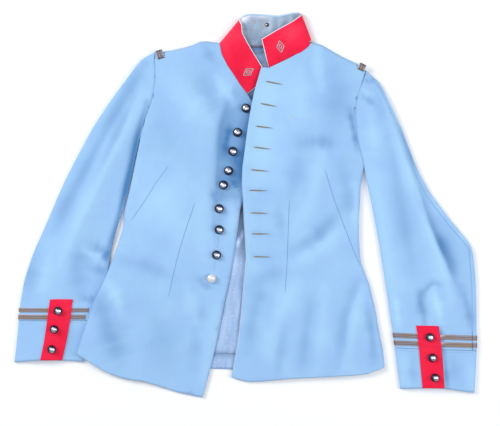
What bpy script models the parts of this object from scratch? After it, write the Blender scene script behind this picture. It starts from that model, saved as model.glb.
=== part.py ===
# A uniform tunic of light blue wool with a red stand collar, laid flat on its back.
# X runs to the wearer's left, Y from the hem to the collar and Z up from the surface.
# Tables and sizes are in millimetres, and become metres where a mesh is made.

import math
from collections import namedtuple

import bmesh
import bpy
import numpy as np
from mathutils import Matrix, Vector

MM = 0.001

# Thicknesses and clearances
CLOTH = 1.5
SATIN = 1.0
COLLAR_CLOTH = 1.8
COLLAR_SATIN = 0.8
BRAID = 0.8
TAB_CLOTH = 1.4
SEAM_GAP = 0.4
LAYER_GAP = 0.3

# The fronts roll over at the sides and shoulders, and end just above the back
ROLL = 6.0
FRONT_LOW = 2.4
ROLL_ANGLES = (35, 65, 90)
SHOULDER_ROLL_SHARE = 0.32
SIDE_FALL_START = 0.6
FRONT_COLUMNS = 10
STAND_WIDTH = 48.0
STAND_RISE = 70.0

# The body lies over the edge of the right sleeve from the waist down
SLEEVE_LIFT = 5.7
LIFT_WIDTH = 38.0
LIFT_FADE = 50.0
LIFT_BY_SECTION = ((5, 1.0), (6, 0.8), (7, 0.0))

# Sleeves
SLEEVE_CLEAR = 1.5
SHOULDER_CLEAR = 1.4
SLEEVE_PARTS = 8
CROWN_FADE = 50.0
FOLD_FADE = 25.0
# Where the points of a sleeve's rounded edge lie, as shares of its half thickness
EDGE_SHARES = (0.3, 1.0)
# How far the hind-arm seam lies from the outer edge, where it shows
HIND_SEAM_INSET = 9.0
# How far up a cuff's hem is drawn, by its share of the sleeve's width from the inner edge
HEM_BOWS = {
    "r": ((0.0, 0.0), (0.35, 2.5), (0.6, 2.5), (0.85, 0.5), (1.0, -1.5)),
    "l": ((0.0, 0.0), (0.3, 3.5), (0.6, 5.5), (0.8, 2.0), (1.0, -0.5)),
}

# Buttons, each turned from a profile of radius and height
BUTTON_SIDES = 12
BUTTON_PROFILE = ((0, 0), (2.4, 0), (2.4, 2.4), (8.3, 2.8), (8.7, 4.6), (6.6, 7.8), (3.5, 9.3), (0, 9.8))
CUFF_BUTTON_SCALE = 0.94
STUD_PROFILE = ((0, 0), (3.8, 0), (3.8, 0.9), (1.6, 1.6), (1.6, 2.6), (0, 3.0))

# A section of a front runs from its front edge, or the neck seam, to its side or armhole.
# edge, loft and side are the heights of its outer face there and between them.
FrontSection = namedtuple("FrontSection", "name front_x front_y side_x side_y edge loft side")

RIGHT_FRONT = [FrontSection(*row) for row in (
    ("hem", -82, -366, -321, -283, 4.9, 9.5, 9.0),
    ("low skirt", -70, -325, -311, -249, 4.9, 10.0, 10.0),
    ("skirt", -59, -279, -299, -215, 4.9, 10.5, 10.0),
    ("high skirt", -49, -234, -287, -180, 4.9, 11.0, 10.0),
    ("low hip", -40, -187, -270, -146, 4.9, 11.5, 10.0),
    ("hip", -29, -139, -256, -112, 4.9, 11.5, 10.0),
    ("low waist", -21, -93, -243, -78, 4.9, 11.0, 9.5),
    ("waist", -15, -48, -233, -44, 4.9, 11.5, 9.5),
    ("high waist", -10, -10, -230, -8, 4.9, 12.5, 9.5),
    ("ribs", 0, 28, -220, 32, 4.9, 13.5, 10.0),
    ("high ribs", 7, 70, -211, 78, 4.9, 14.0, 10.5),
    ("armpit", 15, 124, -197, 137, 4.9, 14.5, 11.0),
    ("low armhole", 18, 152, -190, 164, 4.9, 14.5, 11.5),
    ("chest", 20, 186, -181, 188, 5.2, 14.5, 12.0),
    ("collar point", 3, 212, -176, 205, 6.1, 14.5, 12.0),
    ("low neck", -10, 229, -173, 226, 6.6, 14.5, 12.0),
    ("neck", -21, 246, -171, 245, 7.6, 14.5, 12.0),
    ("high neck", -34, 265, -171, 262, 10.0, 14.0, 12.0),
    ("top neck", -45, 286, -172, 276, 12.6, 13.5, 12.0),
    ("shoulder", -49, 308, -170, 292, 13.0, 13.0, 11.5),
)]

LEFT_FRONT = [FrontSection(*row) for row in (
    ("hem", -27, -328, 265, -307, 5.5, 9.5, 8.5),
    ("low skirt", -19, -283, 262, -279, 6.8, 10.0, 9.5),
    ("skirt", -12, -238, 254, -238, 6.8, 10.5, 10.0),
    ("high skirt", -8, -196, 247, -198, 6.8, 11.0, 10.0),
    ("low hip", -4, -146, 236, -152, 6.8, 11.5, 10.0),
    ("hip", 1, -102, 219, -108, 6.8, 11.5, 10.0),
    ("low waist", -1, -63, 216, -66, 6.8, 11.0, 9.5),
    ("waist", -3, -32, 216, -25, 6.8, 11.5, 9.5),
    ("high waist", -5, 11, 218, 2, 6.8, 12.5, 9.5),
    ("ribs", -7, 40, 219, 28, 6.8, 13.5, 10.0),
    ("high ribs", -6, 70, 222, 51, 6.8, 14.0, 10.5),
    ("armpit", -1, 108, 225, 75, 6.8, 14.5, 11.0),
    ("low armhole", 4, 146, 218, 100, 7.0, 14.5, 11.5),
    ("chest", 10, 184, 213, 125, 7.8, 14.5, 12.0),
    ("high chest", 17, 217, 209, 152, 8.4, 14.5, 12.0),
    ("neck step", 30, 262, 207, 179, 8.8, 14.5, 12.0),
    ("collar end", 45, 261, 210, 202, 9.2, 14.5, 12.0),
    ("low neck", 83, 279, 217, 222, 11.2, 14.5, 12.0),
    ("neck", 110, 294, 223, 240, 12.8, 14.0, 12.0),
    ("shoulder", 126, 310, 228, 256, 13.0, 13.0, 11.5),
)]
ARMPIT = 11
SHOULDER = len(RIGHT_FRONT) - 1

# How far an edge stands out from the straight line between its ends: share along it, distance
RIGHT_HEM = ((0, 0), (0.09, 3), (0.21, 7), (0.47, 7), (0.59, 15), (0.73, 17), (0.85, 11), (0.92, 4), (1, 0))
LEFT_HEM = ((0, 0), (0.09, 10), (0.2, 12), (0.34, 10), (0.78, 13), (0.9, 12), (0.97, 6), (1, 0))
RIGHT_SHOULDER = ((0, 0), (0.2, 7), (0.32, 8), (0.45, 1), (0.69, -1), (0.87, -3), (1, 0))
LEFT_SHOULDER = ((0, 0), (0.19, 5), (0.49, 3), (0.78, 4), (0.9, 4), (1, 0))

# Soft folds: a ridge, or with a negative height a trough, along a line from one end to the other
Fold = namedtuple("Fold", "name start_x start_y end_x end_y width height")

RIGHT_FRONT_FOLDS = [Fold(*row) for row in (
    ("hip fold", -273, -148, -237, -209, 13, 3.5),
    ("hip hollow", -240, -130, -205, -215, 14, -2.5),
    ("skirt flute", -180, -205, -190, -330, 20, 3.0),
    ("skirt hollow", -140, -220, -145, -345, 18, -1.0),
    ("waist fold", -215, -60, -150, -95, 14, -2.5),
    ("chest hollow", -160, 150, -185, 40, 18, -2.5),
)]
LEFT_FRONT_FOLDS = [Fold(*row) for row in (
    ("waist trough", 179, -36, 97, -80, 15, -3.5),
    ("waist ridge", 195, -70, 120, -112, 16, 2.5),
    ("chest hollow", 100, 122, 172, 120, 15, -3.0),
    ("skirt flute", 181, -160, 170, -312, 14, 3.5),
    ("skirt hollow", 205, -171, 196, -300, 12, -3.0),
    ("front flute", 60, -190, 52, -320, 20, 2.5),
    ("armhole fold", 195, 150, 178, 60, 12, 2.5),
)]
LINING_FOLDS = [Fold(*row) for row in (
    ("middle fold", -14, -95, -38, -262, 5, 2.2),
)]

# A section of a sleeve runs from its inner edge to its outer edge.
# edge is the height of the flattened tube at those edges and crown its height between them.
SleeveSection = namedtuple("SleeveSection", "name inner_x inner_y outer_x outer_y edge crown")

RIGHT_SLEEVE = [SleeveSection(*row) for row in (
    ("armhole", -197, 137, -170, 292, 9.0, 12.0),
    ("sleeve head", -203, 110, -200, 276, 9.0, 13.0),
    ("upper arm", -212, 70, -227, 239, 9.0, 13.5),
    ("biceps", -220, 32, -256, 200, 8.5, 13.5),
    ("high elbow", -230, -6, -288, 152, 8.0, 13.5),
    ("elbow", -243, -44, -319, 95, 7.0, 13.5),
    ("low elbow", -254, -86, -347, 40, 5.0, 13.0),
    ("forearm", -258, -120, -381, -40, 5.0, 12.5),
    ("low forearm", -268, -158, -404, -91, 5.0, 12.0),
    ("tab top", -277, -186, -422, -146, 5.0, 11.5),
    ("braid top", -280, -195, -430, -195, 5.0, 11.0),
    ("cuff seam", -285, -220, -432, -220, 5.0, 11.0),
    ("cuff", -295, -256, -435, -258, 5.0, 11.0),
    ("cuff hem", -307, -298, -440, -298, 5.0, 11.0),
)]
LEFT_SLEEVE = [SleeveSection(*row) for row in (
    ("armhole", 225, 75, 228, 256, 9.0, 12.0),
    ("sleeve head", 227, 53, 256, 232, 9.0, 13.0),
    ("upper arm", 232, 32, 276, 192, 9.0, 13.5),
    ("biceps", 237, 8, 297, 146, 8.5, 13.5),
    ("high elbow", 242, -17, 313, 104, 8.5, 13.5),
    ("elbow", 247, -44, 328, 66, 8.5, 13.5),
    ("low elbow", 253, -74, 351, 23, 8.5, 13.5),
    ("elbow bulge", 257, -104, 387, -25, 8.5, 13.5),
    ("forearm", 263, -141, 433, -80, 8.0, 13.0),
    ("low forearm", 269, -177, 439, -154, 7.5, 12.5),
    ("tab top", 275, -222, 440, -226, 7.0, 11.5),
    ("braid top", 279, -242, 440, -248, 7.0, 11.0),
    ("cuff seam", 283, -272, 440, -277, 7.0, 11.0),
    ("cuff", 287, -308, 439, -314, 7.0, 11.0),
    ("cuff hem", 293, -350, 436, -357, 7.0, 11.0),
)]
# How much of the armhole's curve each of the first sections keeps
ARMHOLE_CURVE = (1.0, 0.6, 0.25)

RIGHT_SLEEVE_FOLDS = [Fold(*row) for row in (
    ("long trough", -257, 200, -345, -30, 13, -4.0),
    ("long ridge", -240, 190, -325, -40, 12, 2.5),
    ("inner elbow wrinkle", -290, -70, -262, -108, 9, -3.0),
    ("forearm hollow", -350, -110, -375, -170, 15, -2.0),
)]
LEFT_SLEEVE_FOLDS = [Fold(*row) for row in (
    ("upper ridge", 265, 207, 316, 48, 12, 3.0),
    ("middle ridge", 316, 48, 352, -65, 12, 4.0),
    ("lower ridge", 352, -65, 396, -179, 12, 4.0),
    ("trough beside the ridge", 312, 125, 372, -40, 12, -3.0),
    ("inner elbow wrinkle", 258, -60, 300, -90, 9, -2.5),
)]

# The braid lies between the rows named braid top and cuff seam: share of that stretch, start and end
RIGHT_BRAIDS = {"upper": (0.02, 0.36), "lower": (0.53, 0.91)}
LEFT_BRAIDS = {"upper": (0.01, 0.355), "lower": (0.49, 0.83)}
# On the wearer's right each braid runs on along the flat strip, as far as the front's edge
BRAID_RUNS_ON = {"upper": 8.0, "lower": 4.5}
# start is how far past its section row a tab starts, at its inner and outer corner: shares of that stretch.
# top and hem are shares of the sleeve's width at the tab's two sides, at its top and at the cuff's hem.
Tab = namedtuple("Tab", "start top hem")
RIGHT_TAB = Tab((0.31, 0.54), (0.335, 0.62), (0.305, 0.618))
LEFT_TAB = Tab((0.28, 0.26), (0.285, 0.548), (0.297, 0.592))
# The tab ramps up over this length, and stays high this far past the braids, as shares of the braid's stretch
TAB_RAMP = 6.0
TAB_BEFORE_BRAID = 0.02
TAB_AFTER_BRAID = 0.04

RIGHT_CUFF_BUTTONS = ((-356, -201), (-363, -236), (-368, -274))
LEFT_CUFF_BUTTONS = ((350, -251), (355, -290), (360, -328))
FRONT_BUTTONS = (
    (1, 184), (-15, 138), (-24, 102), (-32, 65), (-42, 38), (-50, -7), (-50, -47), (-55, -95), (-65, -139),
)
# The lowest button leans on its shank: degrees about X and Y
BUTTON_TILTS = {9: (16, 14)}

# A station of the collar joins the neck seam to the top edge. height is that of its outer face.
Station = namedtuple("Station", "name neck_x neck_y top_x top_y height")

COLLAR_RIGHT_END = [Station(*row) for row in (
    ("end", 3, 212, 43, 245, 6.2),
    ("point", -10, 229, 28, 267, 6.6),
    ("front", -21, 246, 15, 288, 7.6),
    ("turn", -34, 265, 3, 308, 10.0),
    ("near the fold", -45, 286, -7, 327, 12.8),
    ("fold top", -47, 299, -8, 342, 14.0),
)]
COLLAR_RIGHT_FOLD = Station("right fold", -48.5, 309, -12, 352, 0)
COLLAR_BACK = [Station(*row) for row in (
    ("right back", -41, 311, -5, 358, 0),
    ("right of middle", -14, 303, 10, 363, 0),
    ("middle", 20, 301, 31, 362, 0),
    ("left of middle", 56, 302, 64, 360, 0),
    ("left back", 94, 306, 88, 365, 0),
    ("left fold start", 116, 312, 100, 366, 0),
)]
COLLAR_LEFT_FOLD = Station("left fold", 125.5, 314, 107.5, 362, 0)
COLLAR_LEFT_END = [Station(*row) for row in (
    ("fold top", 119, 307, 103, 357, 14.0),
    ("near the fold", 110, 294, 90, 348, 13.5),
    ("front", 83, 279, 59, 331, 11.6),
    ("end", 45, 261, 32, 315, 9.6),
)]
COLLAR_PARTS = 4
FOLD_STEPS = 6
# The lining lies in from the collar's long edges, and stops short of its ends by shares of the end stretches
COLLAR_LINING_INSET = 1.5
COLLAR_LINING_ENDS = (0.1, 0.05)
STUD_PLACE = (41, 343)

# The back's neckline, below the collar, from the right shoulder to the left one
BACK_NECK = ((-49, 307.5), (-41, 309), (-14, 302), (20, 300), (56, 301), (94, 305), (116, 310), (126, 310))
BACK_HEM = ((0, 0), (0.1, 12), (0.35, 18), (0.6, 18), (0.9, 14), (1, 0))
BACK_TOP_ROWS = 6
# Where the back's columns meet the two shoulder edges, as shares of those edges
BACK_RIGHT_SHOULDER = (0, 0.2, 0.4, 0.6, 0.8)
BACK_LEFT_SHOULDER = (0.2, 0.5, 0.8, 1)

# The satin that shows in the neck and between the fronts: y, then its right and left edges
LINING_SECTIONS = (
    (296, -14, 74), (247, -8, 72), (180, -24, 36), (110, -28, 33), (28, -28, 31), (-48, -45, 24),
    (-124, -56, 22), (-170, -64, 16), (-215, -72, 12), (-250, -78, 6), (-284, -84, 2),
)
HEM_BAND_SECTIONS = ((-286, -85, 2), (-311, -95, -2))
LINING_COLUMNS = 8

# The part of a front's grid, counted from its shoulder and its side, that a shoulder loop lies on
LOOP_ROWS = slice(-5, -2)
LOOP_COLUMNS = 5

SHARP_ANGLE = 50

# Base colours, with roughness and metallic value
COLOURS = {
    "blue wool": ((0.38, 0.63, 0.93), 0.85, 0.0),
    "red wool": ((0.9, 0.03, 0.06), 0.85, 0.0),
    "lilac satin": ((0.42, 0.51, 0.75), 0.4, 0.0),
    "pale satin": ((0.55, 0.6, 0.7), 0.5, 0.0),
    "grey braid": ((0.3, 0.25, 0.24), 0.5, 0.4),
    "silver": ((0.7, 0.7, 0.72), 0.25, 1.0),
    "dark metal": ((0.1, 0.1, 0.12), 0.4, 0.8),
}


def smooth(value):
    """An even step from 0 to 1."""
    value = np.clip(value, 0, 1)
    return value * value * (3 - 2 * value)


def between(first, second, share):
    return np.asarray(first, float) * (1 - share) + np.asarray(second, float) * share


def along(table, share):
    """The value of a two-column table at a share."""
    return np.interp(share, [row[0] for row in table], [row[1] for row in table])


def section_at(sections, place):
    """The values of a sections table at a place that may lie between two of its rows."""
    index = min(int(place), len(sections) - 2)
    values = between(sections[index][1:], sections[index + 1][1:], place - index)
    return type(sections[0])("", *values)


def fold_height(folds, x, y):
    """The height that the folds add, which falls away evenly from each fold's line."""
    total = 0.0
    for fold in folds:
        start = np.array((fold.start_x, fold.start_y), float)
        line = np.array((fold.end_x, fold.end_y)) - start
        share = np.clip(np.dot((x, y) - start, line) / np.dot(line, line), 0, 1)
        distance = np.linalg.norm((x, y) - start - line * share)
        total += fold.height * math.exp(-((distance / fold.width) ** 2))
    return total


def normals_of(rows):
    """The outward direction at each point of a grid, from its neighbours."""
    points = np.array(rows)
    down = np.gradient(points, axis=0)
    across = np.gradient(points, axis=1)
    normals = np.cross(across, down)
    return normals / np.linalg.norm(normals, axis=2, keepdims=True)


def moved_out(rows, distance):
    """A grid's points moved along its normals, by one distance or one for each row."""
    distance = np.broadcast_to(np.asarray(distance, float).reshape(-1, 1, 1), (len(rows), 1, 1))
    return np.array(rows) + normals_of(rows) * distance


def material_of(name):
    material = bpy.data.materials.get(name)
    if material:
        return material
    material = bpy.data.materials.new(name)
    material.use_nodes = True
    shader = material.node_tree.nodes["Principled BSDF"]
    colour, roughness, metallic = COLOURS[name]
    shader.inputs["Base Color"].default_value = (*colour, 1)
    shader.inputs["Roughness"].default_value = roughness
    shader.inputs["Metallic"].default_value = metallic
    return material


def mesh_object(name, bm, material):
    mesh = bpy.data.meshes.new(name)
    bm.to_mesh(mesh)
    bm.free()
    mesh.shade_smooth()
    mesh.set_sharp_from_angle(angle=math.radians(SHARP_ANGLE))
    mesh.materials.append(material_of(material))
    obj = bpy.data.objects.new(name, mesh)
    bpy.context.collection.objects.link(obj)
    return obj


def wall(name, rows, thickness, material, ring=False):
    """A cloth wall whose outer face is a grid of points. A ring joins each row's end to its start."""
    bm = bmesh.new()
    grid = [[bm.verts.new(Vector(point) * MM) for point in row] for row in rows]
    for row, following in zip(grid, grid[1:]):
        count = len(row) if ring else len(row) - 1
        for k in range(count):
            after = (k + 1) % len(row)
            bm.faces.new((row[k], row[after], following[after], following[k]))
    obj = mesh_object(name, bm, material)
    solidify = obj.modifiers.new("cloth thickness", "SOLIDIFY")
    solidify.thickness = thickness * MM
    solidify.offset = -1
    return obj


def turned(name, profile, scale, material):
    """A solid turned from a profile of radius and height."""
    bm = bmesh.new()
    points = [bm.verts.new((radius * scale * MM, 0, height * scale * MM)) for radius, height in profile]
    edges = [bm.edges.new(pair) for pair in zip(points, points[1:])]
    bmesh.ops.spin(
        bm, geom=points + edges, cent=(0, 0, 0), axis=(0, 0, 1), angle=math.tau,
        steps=BUTTON_SIDES, use_merge=True,
    )
    bmesh.ops.remove_doubles(bm, verts=bm.verts, dist=0.00001)
    bmesh.ops.recalc_face_normals(bm, faces=bm.faces)
    return mesh_object(name, bm, material)


def seat(obj, carrier, x, y, tilt=(0, 0)):
    """Sets a turned piece on the outer face of its carrier at x, y, square to it but for the tilt."""
    bpy.context.view_layer.update()
    evaluated = carrier.evaluated_get(bpy.context.evaluated_depsgraph_get())
    hit, place, normal, _ = evaluated.ray_cast(Vector((x * MM, y * MM, 1)), Vector((0, 0, -1)))
    assert hit, f"{obj.name} has nothing under it"
    lean = Matrix.Rotation(math.radians(tilt[0]), 3, "X") @ Matrix.Rotation(math.radians(tilt[1]), 3, "Y")
    up = lean @ normal
    base_radius = BUTTON_PROFILE[1][0]
    gap = (LAYER_GAP + base_radius * math.sin(up.angle(normal))) * MM
    turn = up.to_track_quat("Z", "Y").to_matrix().to_4x4()
    obj.matrix_world = Matrix.Translation(place + normal * gap) @ turn


def lift(place, x):
    """How far the body is raised where it lies over the right sleeve's edge."""
    from_side = x - section_at(RIGHT_FRONT, place).side_x
    return SLEEVE_LIFT * smooth(1 - (from_side - LIFT_WIDTH) / LIFT_FADE) * along(LIFT_BY_SECTION, place)


def front_point(sections, hem, shoulder, folds, place, inset, share, roll, top_roll):
    """A point of a front's outer face. roll and top_roll are angles, 0 on the face and 90 at its edge."""
    section = section_at(sections, place)
    front = np.array((section.front_x, section.front_y))
    side = np.array((section.side_x, section.side_y))
    width = np.linalg.norm(side - front)
    distance = (width - ROLL) * share + inset
    x, y = front + (side - front) / width * distance
    share_across = distance / width
    y -= along(hem, share_across) * max(0, 1 - place)
    y += along(shoulder, share_across) * max(0, 1 - (SHOULDER - place))
    rise = smooth((distance - STAND_WIDTH) / STAND_RISE)
    fall = smooth((share_across - SIDE_FALL_START) / (1 - SIDE_FALL_START))
    height = section.edge + (section.loft - section.edge) * rise
    height += (section.side - section.loft) * fall
    height += fold_height(folds, x, y) * rise
    # Above the armpit the edge is sewn to the sleeve and doesn't roll
    rolled = smooth(ARMPIT - place)
    height -= (height - FRONT_LOW) * (1 - math.cos(math.radians(roll))) * rolled
    height -= (height - FRONT_LOW) * (1 - math.cos(math.radians(top_roll)))
    return x, y, height + lift(place, x)


def front_rows(sections, hem, shoulder, folds):
    places = [k / 2 for k in range(2 * ARMPIT)] + list(range(ARMPIT, SHOULDER))
    rolls = [(SHOULDER - SHOULDER_ROLL_SHARE * (1 - math.sin(math.radians(a))), a) for a in (0, *ROLL_ANGLES)]
    rows = []
    for place, top_roll in [(place, 0) for place in places] + rolls:
        row = []
        for column in range(FRONT_COLUMNS + 1):
            share = column / FRONT_COLUMNS
            row.append(front_point(sections, hem, shoulder, folds, place, 0, share, 0, top_roll))
        for angle in ROLL_ANGLES:
            inset = ROLL * math.sin(math.radians(angle))
            row.append(front_point(sections, hem, shoulder, folds, place, inset, 1, angle, top_roll))
        rows.append(row)
    return np.array(rows)


def make_fronts():
    """The two fronts, each a panel from its front edge over the side, and the loops on their shoulders."""
    right = front_rows(RIGHT_FRONT, RIGHT_HEM, RIGHT_SHOULDER, RIGHT_FRONT_FOLDS)
    left = front_rows(LEFT_FRONT, LEFT_HEM, LEFT_SHOULDER, LEFT_FRONT_FOLDS)
    # The two panels mirror each other, so one of them is read from its side to its front edge
    right = right[:, ::-1]
    fronts = {
        "right": wall("front_right", right, CLOTH, "blue wool"),
        "left": wall("front_left", left, CLOTH, "blue wool"),
    }
    patches = {
        "shoulder_loop_r": right[LOOP_ROWS, :LOOP_COLUMNS],
        "shoulder_loop_l": left[LOOP_ROWS, -LOOP_COLUMNS:],
    }
    for name, patch in patches.items():
        wall(name, moved_out(patch, LAYER_GAP + BRAID), BRAID, "grey braid")
    return fronts


def make_back():
    """The back panel under the fronts, with the fronts' outline but for its own hem and neckline."""
    right_sides = [(section.side_x, section.side_y) for section in RIGHT_FRONT]
    left_sides = [(section.side_x, section.side_y) for section in LEFT_FRONT]
    right_shoulder = [
        between(right_sides[-1], BACK_NECK[0], share) + (0, along(RIGHT_SHOULDER, 1 - share))
        for share in BACK_RIGHT_SHOULDER
    ]
    left_shoulder = [
        between(BACK_NECK[-1], left_sides[-1], share) + (0, along(LEFT_SHOULDER, share))
        for share in BACK_LEFT_SHOULDER
    ]
    top = np.array(right_shoulder + list(BACK_NECK) + left_shoulder, float)
    shares = (top[:, 0] - top[0, 0]) / (top[-1, 0] - top[0, 0])
    rows = []
    for k, (start, end) in enumerate(zip(right_sides, left_sides)):
        kept = smooth(1 - (SHOULDER - k) / BACK_TOP_ROWS)
        row = []
        for share, top_point in zip(shares, top):
            x, y = between(start, end, share)
            y += (top_point[1] - between(top[0], top[-1], share)[1]) * kept
            y -= along(BACK_HEM, share) * (k == 0)
            row.append((x, y, CLOTH + lift(k, x)))
        rows.append(row)
    wall("back", rows, CLOTH, "blue wool")


def strip_rows(sections, folds, height):
    """A flat strip from a table of y and its two edges."""
    rows = []
    for y, start, end in reversed(sections):
        row = []
        for column in range(LINING_COLUMNS + 1):
            x = between(start, end, column / LINING_COLUMNS)
            row.append((x, y, height + fold_height(folds, x, y)))
        rows.append(row)
    return rows


def make_lining():
    """The satin and the hem band, on the back and under the fronts."""
    top = CLOTH + LAYER_GAP + SATIN
    wall("lining", strip_rows(LINING_SECTIONS, LINING_FOLDS, top), SATIN, "lilac satin")
    wall("back_hem_band", strip_rows(HEM_BAND_SECTIONS, (), top), SATIN, "lilac satin")


class Sleeve:
    """A flattened tube, read at any place along its sections and around its ring."""

    def __init__(self, side, sections, armhole, folds, flat_strip, hind_seam_shows):
        self.outward = -1 if side == "r" else 1
        self.side = side
        self.sections = sections
        self.armhole = np.array(armhole, float)
        self.folds = folds
        self.flat_strip = flat_strip
        self.hind_seam_shows = hind_seam_shows

    def point(self, place, share, face, inset=0.0):
        """share runs from the inner edge to the outer one, inset is in millimetres, face is top or bottom."""
        section = section_at(self.sections, place)
        clear = between(2 * SEAM_GAP, SLEEVE_CLEAR, min(place, 1)) * self.outward
        inner = np.array((section.inner_x + clear, section.inner_y))
        shoulder_clear = SHOULDER_CLEAR * self.outward * max(0, 1 - place)
        outer = np.array((section.outer_x + shoulder_clear, section.outer_y))
        width = np.linalg.norm(outer - inner)
        share += inset / width
        x, y = between(inner, outer, share)
        curve = np.interp(place, range(len(ARMHOLE_CURVE) + 1), (*ARMHOLE_CURVE, 0))
        steps = np.linspace(0, 1, len(self.armhole))
        bow = [np.interp(share, steps, self.armhole[:, axis]) for axis in (0, 1)]
        x, y = (x, y) + (bow - between(self.armhole[0], self.armhole[-1], share)) * curve
        y += along(HEM_BOWS[self.side], share) * max(0, place - len(self.sections) + 2)
        from_inner = width * share
        from_outer = width - from_inner
        half = section.edge / 2
        near = min(from_inner, from_outer, half) / half
        bulge = half * math.sqrt(max(0, 1 - (1 - near) ** 2))
        if face == "bottom":
            return x, y, half - bulge
        crown = (section.crown - section.edge) * smooth((from_inner - self.flat_strip) / CROWN_FADE)
        crown *= smooth(from_outer / CROWN_FADE)
        folds = fold_height(self.folds, x, y) * smooth((from_inner - self.flat_strip) / FOLD_FADE)
        return x, y, half + bulge + crown + folds * smooth(from_outer / FOLD_FADE)

    def edge_insets(self, place):
        half = section_at(self.sections, place).edge / 2
        return [half * share for share in EDGE_SHARES]

    def across(self, place, face, shares):
        return [self.point(place, share, face) for share in shares]

    def over_top(self, place, first):
        """Across the top from a part of the width to the outer curve, with a place for the hind-arm seam."""
        row = self.across(place, "top", parts_between(first, SLEEVE_PARTS - 1))
        if self.hind_seam_shows:
            row.append(self.point(place, 1, "top", -HIND_SEAM_INSET))
        return row

    def inner_side(self, place):
        """The inner edge, from the bottom round to the top."""
        near, far = self.edge_insets(place)
        around = (("bottom", far), ("bottom", near), ("top", 0), ("top", near), ("top", far))
        return [self.point(place, 0, face, inset) for face, inset in around]

    def outer_side(self, place):
        """The outer edge, from the top round to the bottom."""
        near, far = self.edge_insets(place)
        around = (("top", far), ("top", near), ("top", 0), ("bottom", near), ("bottom", far))
        return [self.point(place, 1, face, -inset) for face, inset in around]

    def solid(self, name, rows, thickness, material, ring=False):
        """A wall whose rows run inner to outer over the top, which turns round on the wearer's right."""
        rows = [row[::-1] if self.outward < 0 else row for row in rows]
        return wall(name, rows[::-1], thickness, material, ring)


def parts_between(first, last):
    """Shares of the sleeve's width at whole parts of it."""
    return [k / SLEEVE_PARTS for k in range(first, last + 1)]


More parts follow.
